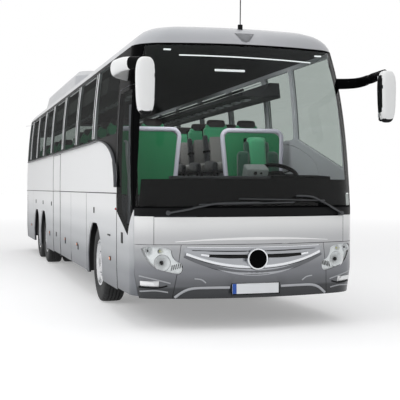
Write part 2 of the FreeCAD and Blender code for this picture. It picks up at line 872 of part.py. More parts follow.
def underframe():
    """Rails, bulkheads, cross beams, wheel wells and the floor of the luggage bays."""
    under_deck = deck_z - floor_plate - seat_gap
    front_wall = front_panel_end_s - plate
    over_rail = rail_z1 + seat_gap
    well_z0 = mid_door_s - post_width
    well_z1 = mid_door_end_s + post_width
    tail_beam = length - rear_corner - wall
    pieces = [
        across(front_wall, front_panel_end_s, bay_floor_z0, under_deck),
        across(rear_panel_s, rear_panel_s + plate, bay_floor_z0, under_deck),
        across(rear_panel_end_s - plate, rear_panel_end_s, over_rail, under_deck),
        across(step_s, step_s + plate, over_rail, platform_z - floor_plate - seat_gap),
        across(front_panel_end_s + seat_gap, well_z0, bay_floor_z0, bay_floor_z1),
        trimmed(frame_inset, -stair_x + plate, half_width, well_z0 + seat_gap, well_z1, bay_floor_z0,
                bay_floor_z1),
        across(well_z1 + seat_gap, rear_panel_s - seat_gap, bay_floor_z0, bay_floor_z1),
        block(-rail_x0 + seat_gap, rail_x0 - seat_gap, corner_s + margin, corner_s + 2 * margin, rail_z0,
              rail_z1),
        block(-rail_x1, rail_x1, tail_beam - margin, tail_beam, tow_z - margin, rail_z0 - seat_gap),
    ]
    nose_end = frame_inset + plate + seat_gap
    for side in (-1, 1):
        x0 = min(side * rail_x0, side * rail_x1)
        x1 = max(side * rail_x0, side * rail_x1)
        pieces.append(trimmed(nose_end, x0, x1, 0, front_wall - seat_gap, rail_z0, rail_z1))
        pieces.append(trimmed(nose_end, x0, x1, rear_panel_s + plate + seat_gap, length, rail_z0, rail_z1))
        pieces += wheel_well(step_s + plate + seat_gap, front_wall - seat_gap, side)
        pieces += wheel_well(rear_panel_s + plate + seat_gap, rear_panel_end_s - plate - seat_gap, side)
    save("underframe", Part.Compound(pieces))


riser = 250.0
tread = 250.0
first_edge_x = -930.0


def flight(s0, s1, top_z):
    """Treads and risers of a flight that climbs inboard from a door on the -X side."""
    pieces = []
    outer = -half_width
    edge = first_edge_x
    z = bay_floor_z1 + plate
    while z < top_z - floor_plate:
        high = min(z + riser, top_z) - floor_plate - seat_gap
        pieces.append(trimmed(door_inset, outer, edge, s0, s1, z - floor_plate, z))
        pieces.append(trimmed(door_inset, edge + seat_gap, edge + plate, s0, s1, z - floor_plate, high))
        outer = edge
        edge += tread
        z += riser
    return pieces


def stairs():
    """The front and the middle stairwell: treads, risers and cheeks."""
    foot = bay_floor_z1 + seat_gap
    front_s = corner_s + margin
    front_end_s = door_end_s + margin
    under_deck = deck_z - floor_plate - seat_gap
    mid_inner = tread - stair_x + 2 * plate
    rail_side = -rail_x1 - seat_gap
    pieces = flight(front_s, front_end_s, platform_z) + flight(mid_door_s, mid_door_end_s, deck_z)
    for s0, inner, top in ((front_s - plate, rail_side, platform_z),
                           (front_end_s + seat_gap, rail_side, platform_z - floor_plate - seat_gap),
                           (mid_door_s - plate, mid_inner, under_deck),
                           (mid_door_end_s + seat_gap, mid_inner, under_deck)):
        pieces.append(trimmed(door_inset, -half_width, inner, s0, s0 + plate - seat_gap, foot, top))
    save("stairs", Part.Compound(pieces))


def deck():
    """Passenger floor around the middle stairwell, driver's platform, landing and the step between them."""
    floor_z = deck_z - floor_plate
    low_z = platform_z - floor_plate
    well_s0 = mid_door_s - door_gap
    well_s1 = mid_door_end_s + door_gap
    platform_end = step_s - seat_gap
    pieces = [
        across(step_s, well_s0, floor_z, deck_z),
        trimmed(frame_inset, tread - stair_x, half_width, well_s0 + seat_gap, well_s1 - seat_gap,
                floor_z, deck_z),
        across(well_s1, tail_panel_s, floor_z, deck_z),
        across(step_s, step_s + plate, low_z, floor_z - seat_gap),
        trimmed(frame_inset, -stair_x, half_width, corner_s + margin, platform_end, low_z, platform_z),
        trimmed(frame_inset, -half_width, -stair_x - seat_gap, door_end_s + margin + seat_gap, platform_end,
                low_z, platform_z),
    ]
    save("deck", Part.Compound(pieces))


engine_half = 410.0
engine_s0 = 11480.0
engine_s1 = 12650.0
engine_z0 = 450.0
engine_z1 = 1250.0


def engine():
    """The engine as one plain block between the rear rails."""
    save("engine", block(-engine_half, engine_half, engine_s0, engine_s1, engine_z0, engine_z1))


beam_half = 48.0
beam_boss_radius = 44.0
ear_height = 36.0
differential_radius = 210.0
axle_radius = 70.0


def bellows(s, base_z):
    """A pair of air springs between an axle and the rails above it."""
    return [rod((side * (rail_x0 + rail_x1) / 2, s, base_z), (side * (rail_x0 + rail_x1) / 2, s,
                                                              rail_z0 - seat_gap), bellows_radius)
            for side in (-1, 1)]


def axles():
    """Front beam with kingpin bosses, drive axle with its differential, and tag axle."""
    low = wheel_radius - beam_half
    high = wheel_radius + beam_half
    beam = [block(-kingpin_x, kingpin_x, front_axle_s - beam_half, front_axle_s + beam_half, low, high)]
    for side in (-1, 1):
        beam.append(rod((side * kingpin_x, front_axle_s, low), (side * kingpin_x, front_axle_s, high),
                        beam_boss_radius))
    front = fused(beam + bellows(front_axle_s, wheel_radius))
    for side in (-1, 1):
        end = side * kingpin_x
        bore = rod((end, front_axle_s, low - overrun), (end, front_axle_s, high + overrun),
                   kingpin_radius + pin_clearance)
        front = front.cut(bore)
    tip = wheel_plane_x + tyre_width / 3
    drive_tube = rod((-tip, drive_axle_s, wheel_radius), (tip, drive_axle_s, wheel_radius), spindle_radius)
    inner_tip = wheel_plane_x - twin_spacing - tyre_width / 2
    housing = rod((-inner_tip, drive_axle_s, wheel_radius), (inner_tip, drive_axle_s, wheel_radius),
                  axle_radius)
    ball = Part.makeSphere(differential_radius, Vector(0, y(drive_axle_s), wheel_radius))
    ball = ball.common(block(-differential_radius, differential_radius, drive_axle_s - differential_radius,
                             drive_axle_s + differential_radius, wheel_radius - differential_radius,
                             rail_z0 - plate))
    drive = fused([drive_tube, housing, ball] + bellows(drive_axle_s, wheel_radius))
    tag_tube = rod((-tip, tag_axle_s, wheel_radius), (tip, tag_axle_s, wheel_radius), spindle_radius)
    tag_housing = rod((-inner_tip, tag_axle_s, wheel_radius), (inner_tip, tag_axle_s, wheel_radius),
                      axle_radius)
    tag = fused([tag_tube, tag_housing] + bellows(tag_axle_s, wheel_radius))
    save("axles", Part.Compound([front, drive, tag]))


def knuckle(name, side):
    """Steering knuckle: two ears on a kingpin, a back plate and the wheel's spindle."""
    low = wheel_radius - beam_half
    high = wheel_radius + beam_half
    x = side * kingpin_x
    s = front_axle_s
    plate_x = kingpin_x + beam_boss_radius + panel_gap
    ears = []
    for z0, z1 in ((low - seat_gap - ear_height, low - seat_gap), (high + seat_gap, high + seat_gap
                                                                   + ear_height)):
        ears.append(rod((x, s, z0), (x, s, z1), beam_boss_radius))
        arm = block(min(x, side * plate_x), max(x, side * plate_x), s - beam_boss_radius,
                    s + beam_boss_radius, z0, z1)
        ears.append(arm)
    pin = rod((x, s, low - ear_height), (x, s, high + ear_height), kingpin_radius)
    back_x = side * (plate_x + plate)
    back = block(min(side * plate_x, back_x), max(side * plate_x, back_x), s - beam_boss_radius,
                 s + beam_boss_radius, low - seat_gap - ear_height, high + seat_gap + ear_height)
    spindle = rod((side * plate_x, s, wheel_radius), (side * (wheel_plane_x + tyre_width / 3), s,
                                                      wheel_radius), spindle_radius)
    save(name, fused(ears + [pin, back, spindle]))


# Wheels

bead_share = 0.8
crown_share = 1.5


def tyre_ring(x, s, side):
    """One tyre: crown, shoulders, sidewalls and beads, revolved about the axle."""
    half = tyre_width / 2
    bead = half * bead_share
    sidewall_r = (bead_radius + wheel_radius) / 2
    flange_r = rim_radius + panel_gap
    points = [(-bead, bead_radius), (-bead, flange_r), (-half, sidewall_r),
              (-half + tyre_shoulder / 2, wheel_radius - tyre_shoulder),
              (-half + crown_share * tyre_shoulder, wheel_radius),
              (half - crown_share * tyre_shoulder, wheel_radius),
              (half - tyre_shoulder / 2, wheel_radius - tyre_shoulder), (half, sidewall_r),
              (bead, flange_r), (bead, bead_radius)]
    return revolved_x(points, x, s, wheel_radius, side)


def rim_ring(x, s, side, dish, hub):
    """One rim: barrel with flanges, a disc set off by its dish, and hand holes."""
    half = tyre_width / 2 * bead_share
    barrel_r = bead_radius - seat_gap
    points = [
        (-half - rim_wall, rim_radius), (-half - seat_gap, rim_radius), (-half - seat_gap, barrel_r),
        (half + seat_gap, barrel_r), (half + seat_gap, rim_radius), (half + rim_wall, rim_radius),
        (half + rim_wall, barrel_r - rim_wall), (dish + disc_wall, barrel_r - 2 * rim_wall),
        (dish + disc_wall, hub), (dish, hub), (dish, barrel_r - 2 * rim_wall),
        (-half - rim_wall, barrel_r - rim_wall),
    ]
    return revolved_x(points, x, s, wheel_radius, side)


def hub_barrel(x, s, side, inner, outer, radius):
    """Hub around the spindle, from its inner to its outer offset."""
    points = [(inner, spindle_radius + hub_clearance), (inner, radius), (outer - rim_wall, radius),
              (outer, radius - rim_wall), (outer, spindle_radius + hub_clearance)]
    return revolved_x(points, x, s, wheel_radius, side)


def hand_hole_cut(rim, x, s):
    """Cut the ring of hand holes through a disc."""
    for i in range(hand_holes):
        angle = 2 * math.pi * i / hand_holes
        hole_s = s + hand_hole_circle * math.cos(angle)
        hole_z = wheel_radius + hand_hole_circle * math.sin(angle)
        rim = rim.cut(rod((x - tyre_width / 2, hole_s, hole_z), (x + tyre_width / 2, hole_s, hole_z),
                          hand_hole_radius))
    return rim


front_dish = 60.0
rear_dish = -50.0


def wheel(tag, s, side, twin, dish):
    """One wheel or twin pair: its tyres in one node and its rims and hub in another."""
    x = side * wheel_plane_x
    tyres = [tyre_ring(x, s, side)]
    rims = [rim_ring(x, s, side, dish, spindle_radius + hub_clearance)]
    reach = tyre_width / 2 - rim_wall
    rims.append(hub_barrel(x, s, side, dish - plate, reach, hub_radius))
    if twin:
        inner_x = side * (wheel_plane_x - twin_spacing)
        tyres.append(tyre_ring(inner_x, s, side))
        inner_dish = twin_spacing + dish - disc_wall - seat_gap
        inner = rim_ring(inner_x, s, side, min(inner_dish, tyre_width / 3), hub_radius)
        rims.append(inner)
        rims.append(hub_barrel(x, s, side, -twin_spacing - dish, dish, hub_radius + rim_wall))
    rim = hand_hole_cut(fused(rims), x, s)
    save("tyre_" + tag, Part.Compound(tyres) if twin else tyres[0])
    save("rim_" + tag, rim)


# Doors and flaps

post_x = 1170.0
post_set = 95.0
post_radius = 18.0
link_s = 440.0
arm_elbow_in = 176.0
arm_elbow_s = 94.0
arm_half = 14.0
arm_z_shares = (0.3, 0.69)
lug_radius = 16.0


def bent_arm(post, link, elbow, z):
    """A flat bent arm from a post to a link, in plan, around the door's edge."""
    outline = []
    for (x0, s0), (x1, s1) in ((post, elbow), (elbow, link)):
        outline.append(rod((x0, s0, z), (x1, s1, z), arm_half))
    outline.append(Part.makeSphere(arm_half, Vector(elbow[0], y(elbow[1]), z)))
    return outline


def swing_arm(name, start_s, sign, foot_z, top_z):
    """Swing arm of a door: an upright post with two bent arms."""
    post = (-post_x, start_s + sign * post_set)
    link = (-post_x, post[1] + sign * link_s)
    elbow = (-post_x + arm_elbow_in, post[1] + sign * arm_elbow_s)
    height = top_z - foot_z
    pieces = [rod((post[0], post[1], foot_z), (post[0], post[1], top_z), post_radius)]
    for share in arm_z_shares:
        z = foot_z + share * height
        pieces += bent_arm(post, link, elbow, z)
        pieces.append(rod((link[0], link[1], z - arm_half), (link[0], link[1], z + arm_half), lug_radius))
    save(name, fused(pieces))


def leaf_lugs(start_s, sign, foot_z, top_z):
    """Brackets on a door leaf that hold the ends of its swing arms."""
    link_station = start_s + sign * (post_set + link_s)
    pieces = []
    for share in arm_z_shares:
        z = foot_z + share * (top_z - foot_z)
        z0 = z + arm_half + seat_gap
        bracket = block(-half_width + leaf_wall / 2, -post_x + lug_radius, link_station - lug_radius,
                        link_station + lug_radius, z0, z0 + plate)
        pieces.append(bracket.common(envelope(leaf_wall / 2)))
    return pieces


door_frame = 45.0
door_glass_foot_z = 1200.0
door_tip_s = 560.0
door_tip_z = 1000.0
door_glass_end_s = 1140.0
arm_foot_z = bay_floor_z1 + plate + seat_gap
arm_top_z = 1350.0


def front_door():
    """Front door: a full-height leaf with a tall window, and its brackets."""
    points = [(corner_s + door_gap, sill_z + plate), (door_end_s, sill_z + plate),
              (door_end_s, front_door_top_z), (slant_s(front_door_top_z) + door_gap, front_door_top_z),
              (slant_s(cowl_z) + door_gap, cowl_z)]
    leaf = skin(side_region(points, -1), 0, leaf_wall)
    leaf = leaf.cut(door_window(0))
    save("front_door", fused([leaf] + leaf_lugs(corner_s, 1, arm_foot_z, arm_top_z)))
    save("front_door_glass", skin(door_window(seat_gap), glass_sink, glass_sink + glass))


def door_window(shrink):
    """The front door's window, drawn to a low tip, or its pane when shrunk."""
    head = front_door_top_z - door_frame - shrink
    front = door_frame + door_gap + shrink
    points = [(slant_s(door_glass_foot_z) + front, door_glass_foot_z), (door_tip_s, door_tip_z + shrink),
              (door_glass_end_s - shrink, door_glass_foot_z), (door_glass_end_s - shrink, head),
              (slant_s(head) + front, head), (slant_s(cowl_z) + front, cowl_z)]
    return side_region(points, -1)


def mid_door():
    """Middle door: a solid leaf below the belt, and its brackets."""
    points = [(mid_door_s, sill_z + plate), (mid_door_end_s, sill_z + plate),
              (mid_door_end_s, mid_door_top_z), (mid_door_s, mid_door_top_z)]
    leaf = skin(side_region(points, -1), 0, leaf_wall)
    save("mid_door", fused([leaf] + leaf_lugs(mid_door_end_s, -1, arm_foot_z, arm_top_z)))


def flap(name, side, s0, s1):
    """A top-hinged luggage flap."""
    top = trim_z - shut_gap
    foot = sill_z + plate
    save(name, skin(side_region([(s0, foot), (s1, foot), (s1, top), (s0, top)], side), 0, wall - panel_gap))


def flaps():
    """Luggage flaps of both sides."""
    start = front_panel_end_s + 2 * shut_gap
    end = rear_panel_s - 2 * shut_gap
    post = mid_door_s - shut_gap - post_width - 2 * shut_gap
    flap("flap_right_front", -1, start, flap_split_s - shut_gap)
    flap("flap_right_rear", -1, flap_split_s + shut_gap, post)
    flap("flap_left_front", 1, start, flap_split_s - shut_gap)
    flap("flap_left_middle", 1, flap_split_s + shut_gap, left_split_s - shut_gap)
    flap("flap_left_rear", 1, left_split_s + shut_gap, end)


# Interior

seat_width = 440.0
seat_pitch = 800.0
seat_start_s = 2350.0
seat_rows = 12
aisle_half = 230.0
# Side outline of a seat, as shares of its height
seat_shares = [(0.10, 0), (0.34, 0), (0.34, 0.27), (0.45, 0.30), (0.63, 0.97), (0.58, 1.0),
               (0.51, 0.98), (0.39, 0.46), (0.03, 0.45), (0, 0.38), (0.02, 0.30), (0.10, 0.27)]
seat_height = 1060.0


def seat_prism(x0, x1, s, floor_z, height):
    """One seat as an extruded side outline, facing forwards."""
    points = [(s + share * height, floor_z + rise * height) for share, rise in seat_shares]
    return prism_x(points, x0, x1)


def passenger_seats():
    """Pairs of seats on both sides of the aisle, with a space at the middle door."""
    pieces = []
    for side in (-1, 1):
        for row in range(seat_rows):
            s = seat_start_s + row * seat_pitch
            if side < 0 and mid_door_s - seat_pitch < s < mid_door_end_s + plate:
                continue
            for seat in (0, 1):
                x0 = aisle_half + seat * (seat_width + panel_gap)
                x1 = x0 + seat_width
                pieces.append(seat_prism(min(side * x0, side * x1), max(side * x0, side * x1), s,
                                         deck_z + seat_gap, seat_height))
    save("passenger_seats", Part.Compound(pieces))


driver_s = 1330.0
driver_x0 = 400.0
driver_x1 = 920.0
driver_height = 1120.0


def driver_seat():
    """Driver's seat on the platform."""
    save("driver_seat", seat_prism(driver_x0, driver_x1, driver_s, platform_z + seat_gap, driver_height))


rack_z0 = 2700.0
rack_z1 = 2900.0
rack_x0 = 640.0
rack_slope = 250.0


def racks():
    """Overhead luggage racks along both sides."""
    pieces = []
    for side in (-1, 1):
        points = [(side * rack_x0, rack_z0 + plate), (side * (rack_x0 + rack_slope), rack_z0),
                  (side * half_width, rack_z0), (side * half_width, rack_z1),
                  (side * (half_width - rack_slope), rack_z1), (side * rack_x0, rack_z0 + wall + plate)]
        bar = prism_y(points, seat_start_s, tail_panel_s - 2 * margin)
        pieces.append(bar.common(envelope(wall + seat_gap)))
    save("luggage_racks", Part.Compound(pieces))


dash_depth = 400.0
dash_top_z = 1585.0
binnacle_top_z = 1640.0
binnacle_x0 = 330.0
binnacle_x1 = 1000.0
wheel_ring_radius = 225.0
wheel_ring_tube = 17.0
wheel_ring_s = 1090.0
wheel_ring_z = 1650.0
# Way the steering column leans, as shares back and up
ring_lean_share = 0.5
ring_rise_share = 0.87
binnacle_reach = 250.0
column_drop = 250.0


def dashboard():
    """Dashboard shelf behind the windscreen, the binnacle and the steering wheel on its column."""
    shelf = trimmed(frame_inset, -half_width, half_width, 0, corner_s, cowl_z, dash_top_z)
    console = trimmed(frame_inset, -stair_x, half_width, corner_s + seat_gap, corner_s + dash_depth,
                      platform_z + seat_gap, dash_top_z)
    back_s = corner_s + dash_depth + binnacle_reach
    points = [(corner_s, dash_top_z - plate), (back_s, dash_top_z - plate),
              (back_s, dash_top_z), (corner_s + dash_depth, binnacle_top_z),
              (corner_s, binnacle_top_z - plate)]
    binnacle = prism_x(points, binnacle_x0, binnacle_x1)
    centre_x = (driver_x0 + driver_x1) / 2
    ring = Part.makeTorus(wheel_ring_radius, wheel_ring_tube,
                          Vector(centre_x, y(wheel_ring_s), wheel_ring_z),
                          Vector(0, -ring_lean_share, ring_rise_share))
    spokes = Part.makeBox(2 * wheel_ring_radius, 2 * wheel_ring_tube, wheel_ring_tube,
                          Vector(centre_x - wheel_ring_radius, y(wheel_ring_s) - wheel_ring_tube,
                                 wheel_ring_z - wheel_ring_tube / 2))
    column = rod((centre_x, corner_s + dash_depth - margin, dash_top_z - column_drop),
                 (centre_x, wheel_ring_s, wheel_ring_z), 2 * wheel_ring_tube)
    save("dashboard", fused([shelf, console, binnacle, ring, spokes, column]))


partition_s = 2090.0
partition_top_z = 2240.0
partition_x0 = 260.0
partition_x1 = 1130.0
pole_radius = 17.0
pole_rise = 250.0
partition_corner = 120.0
partition_wall = 30.0


def partitions():
    """Two round-cornered partitions on the deck's front edge, with a pole beside each."""
    pieces = []
    for side in (-1, 1):
        x0 = min(side * partition_x0, side * partition_x1)
        slab = Part.makeBox(partition_x1 - partition_x0, partition_wall,
                            partition_top_z - deck_z - seat_gap,
                            Vector(x0, y(partition_s), deck_z + seat_gap))
        edges = [e for e in slab.Edges if abs(e.Vertexes[0].Y - e.Vertexes[1].Y) > seat_gap]
        panel = slab.makeFillet(partition_corner, edges)
        pole = rod((side * partition_x0, partition_s + partition_wall / 2, deck_z + seat_gap),
                   (side * partition_x0, partition_s + partition_wall / 2, partition_top_z + pole_rise),
                   pole_radius)
        pieces.append(fused([panel, pole]))
    save("partitions", Part.Compound(pieces))


# Mirrors and wipers

shell_z0 = 2190.0
shell_z1 = 2745.0
shell_depth = 165.0
shell_width = 195.0
right_shell_x = 1320.0
left_shell_s = -330.0
shell_corner = 72.0
shell_edge = 40.0
# Mirror arms: (width, station, height) points from inside the body to the shell, on the door side
right_arm_points = [(1120, 900, 2760), (1300, 760, 2768), (1416, 560, 2764), (1438, 260, 2752),
                    (1424, -60, 2736), (1372, -300, 2714), (1336, -470, 2700)]
right_arm_sizes = [(96.0, 44.0), (58.0, 36.0)]
# and on the driver's side
left_arm_points = [(1100, 574, 2690), (1280, 578, 2694), (1396, 520, 2700), (1438, 330, 2712),
                   (1426, 60, 2722), (1392, -240, 2716)]
left_arm_sizes = [(62.0, 34.0), (50.0, 34.0)]


def mirror_shell(x, s):
    """A round-edged mirror head seen from above."""
    slab = Part.makeBox(shell_width, shell_depth, shell_z1 - shell_z0,
                        Vector(x - shell_width / 2, y(s), shell_z0))
    upright = [e for e in slab.Edges if abs(e.Vertexes[0].Z - e.Vertexes[1].Z) > seat_gap]
    slab = slab.makeFillet(shell_corner, upright)
    rims = [e for e in slab.Edges if abs(e.BoundBox.ZMax - e.BoundBox.ZMin) < seat_gap]
    return slab.makeFillet(shell_edge, rims)


def mirror_arm(points, sizes, side):
    """A curved arm of oval section, swept from the body to the mirror shell."""
    path = Part.BSplineCurve()
    path.interpolate([Vector(side * x, y(s), z) for x, s, z in points])
    rings = []
    for (high, deep), at in zip(sizes, (path.FirstParameter, path.LastParameter)):
        oval = Part.Ellipse(Vector(0, 0, 0), high, deep).toShape()
        turn = FreeCAD.Rotation(Vector(0, 0, 1), path.tangent(at)[0])
        along = turn.multVec(Vector(1, 0, 0))
        straight = FreeCAD.Rotation(along, Vector(0, 0, 1))
        ring = Part.Wire(oval)
        ring.Placement = FreeCAD.Placement(path.value(at), straight.multiply(turn))
        rings.append(ring)
    arm = Part.Wire(path.toShape()).makePipeShell(rings, True, False)
    return arm.cut(envelope(-seat_gap))


def mirrors():
    """Both mirrors on arms that leave the body beside the top of the windscreen."""
    reach = block(-mirror_reach, mirror_reach, -mirror_lead, length, shell_z0, roof_z)
    left_x = mirror_reach - shell_width / 2
    right_arm = mirror_arm(right_arm_points, right_arm_sizes, -1).common(reach)
    left_arm = mirror_arm(left_arm_points, left_arm_sizes, 1).common(reach)
    save("mirror_right", fused([right_arm, mirror_shell(-right_shell_x, -mirror_lead)]))
    save("mirror_left", fused([left_arm, mirror_shell(left_x, left_shell_s)]))


wiper_radius = 9.0
wiper_stand = 4.0
wiper_z = 1240.0
# Wipers: width of the pivot, then width and height of the far end
wiper_runs = [(-930.0, -480.0, 1330.0), (1020.0, 620.0, 1400.0)]


def screen_s(x, z):
    """Station of the windscreen's face at a width and a height."""
    drop = front_bow - math.sqrt(front_bow ** 2 - x * x)
    return drop + rake_belt * max(0, z - cowl_z) / (belt_z - cowl_z)


def wipers():
    """Two long wipers parked low on the windscreen, pivoted on the cowl."""
    pieces = []
    reach = wiper_stand * wiper_radius
    for x0, x1, z1 in wiper_runs:
        root_s = screen_s(x0, wiper_z)
        pivot = (x0, root_s - reach, wiper_z)
        stub = rod(pivot, (x0, root_s + wall / 2, wiper_z), wiper_radius)
        arm = rod(pivot, (x1, screen_s(x1, z1) - reach, z1), wiper_radius)
        pieces.append(fused([stub.cut(envelope(-seat_gap)), arm]))
    save("wipers", Part.Compound(pieces))


for build in (skirts, side_panels, window_bands, glazing, windscreen, cowl, front_mask, front_flap, grille,
              bumper, headlamps, lamp_lenses, rear_wall, rear_bumper, tail_lamps, engine_lid, roof, roof_pod,
              underframe, end_frames, tow_socket, hinge_rods, deck, stairs, engine, axles, front_door,
              mid_door, flaps, passenger_seats, driver_seat, racks, dashboard, partitions, mirrors, wipers):
    build()
knuckle("knuckle_left", 1)
knuckle("knuckle_right", -1)
wheel("front_left", front_axle_s, 1, False, front_dish)
wheel("front_right", front_axle_s, -1, False, front_dish)
wheel("drive_left", drive_axle_s, 1, True, rear_dish)
wheel("drive_right", drive_axle_s, -1, True, rear_dish)
wheel("tag_left", tag_axle_s, 1, False, rear_dish)
wheel("tag_right", tag_axle_s, -1, False, rear_dish)
swing_arm("front_door_arm", corner_s, 1, arm_foot_z, arm_top_z)
swing_arm("mid_door_arm", mid_door_end_s, -1, arm_foot_z, arm_top_z)
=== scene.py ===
"""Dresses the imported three-axle coach: paint, glass, lamps, trim, wheels, cabin and studio.

Lengths are in metres in the row frame: +X is the driver's side, -Y the front, +Z up.
"""
import json
import logging
import math
from dataclasses import dataclass, field
from enum import Enum

import bmesh
import bpy
from mathutils import Matrix, Vector
from mathutils.bvhtree import BVHTree


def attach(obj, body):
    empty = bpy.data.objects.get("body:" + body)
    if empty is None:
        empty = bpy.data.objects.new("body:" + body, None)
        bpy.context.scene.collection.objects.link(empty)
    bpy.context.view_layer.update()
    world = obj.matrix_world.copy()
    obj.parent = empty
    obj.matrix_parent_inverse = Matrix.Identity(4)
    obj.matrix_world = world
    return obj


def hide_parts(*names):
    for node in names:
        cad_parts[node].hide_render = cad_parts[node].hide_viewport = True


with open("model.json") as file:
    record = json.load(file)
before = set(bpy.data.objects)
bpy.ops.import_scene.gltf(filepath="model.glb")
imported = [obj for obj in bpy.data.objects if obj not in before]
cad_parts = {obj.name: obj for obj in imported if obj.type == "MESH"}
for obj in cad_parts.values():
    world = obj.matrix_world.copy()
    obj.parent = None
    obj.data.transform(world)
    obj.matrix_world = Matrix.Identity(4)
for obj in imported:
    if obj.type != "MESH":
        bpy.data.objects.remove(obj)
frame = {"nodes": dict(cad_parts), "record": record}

LOG = logging.getLogger("coach")
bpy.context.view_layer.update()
FRONT_Y = -6.2575
ACROSS, BACK, UP = Vector((1, 0, 0)), Vector((0, 1, 0)), Vector((0, 0, 1))


def station(s: float) -> float:
    """Turn metres behind the front bumper into the frame's Y."""
    return s + FRONT_Y


# Colour and finishes


def linear(code: str) -> tuple[float, float, float, float]:
    """Turn an sRGB hex code into a linear colour.

    Args:
        code: six hex digits after a hash.

    Returns:
        Red, green, blue and alpha, linear.
    """
    parts = [int(code[i:i + 2], 16) / 255 for i in (1, 3, 5)]
    curve = [p / 12.92 if p <= 0.04045 else ((p + 0.055) / 1.055) ** 2.4 for p in parts]
    return (curve[0], curve[1], curve[2], 1.0)


class Grain(Enum):
    """Surface patterns a finish may carry."""

    NONE = "none"
    PEEL = "orange peel of sprayed enamel"
    MOULDED = "grained moulding"
    WEAVE = "woven plush"
    BRUSHED = "brushed or turned metal"
    LEATHER = "pebbled hide"


def add_node(tree: bpy.types.NodeTree, kind: str, settings: dict | None = None,
             links: dict | None = None) -> bpy.types.Node:
    """Add a node with its settings and links.

    Args:
        tree: the node tree.
        kind: the node's type name.
        settings: attribute names or socket names with their values.
        links: input socket names with the output sockets that feed them.

    Returns:
        The new node.
    """
    node = tree.nodes.new(kind)
    for key, value in (settings or {}).items():
        if isinstance(key, str) and hasattr(node, key):
            setattr(node, key, value)
        else:
            node.inputs[key].default_value = value
    for key, source in (links or {}).items():
        tree.links.new(source, node.inputs[key])
    return node


def empty_tree(owner: bpy.types.ID) -> bpy.types.NodeTree:
    """Turn on the nodes of a material or a world and clear them.

    Args:
        owner: the material or world.

    Returns:
        Its empty node tree.
    """
    owner.use_nodes = True
    owner.node_tree.nodes.clear()
    return owner.node_tree


def mix_shaders(tree: bpy.types.NodeTree, share: bpy.types.NodeSocket, first: bpy.types.Node,
                second: bpy.types.Node) -> bpy.types.NodeSocket:
    """Mix two shaders.

    Args:
        tree: the node tree.
        share: the socket that gives the second one's share.
        first: the shader at 0.
        second: the shader at 1.

    Returns:
        The mixed shader's socket.
    """
    return add_node(tree, "ShaderNodeMixShader",
                    links={0: share, 1: first.outputs[0], 2: second.outputs[0]}).outputs[0]


def seeing_rays(tree: bpy.types.NodeTree) -> bpy.types.NodeSocket:
    """Make a socket that is 1 for camera, glossy and transmission rays.

    Args:
        tree: the node tree.

    Returns:
        The socket.
    """
    path = add_node(tree, "ShaderNodeLightPath")
    sight = path.outputs["Is Camera Ray"]
    for ray in ("Is Glossy Ray", "Is Transmission Ray"):
        sight = add_node(tree, "ShaderNodeMath", {"operation": "MAXIMUM"},
                         {0: sight, 1: path.outputs[ray]}).outputs[0]
    return sight


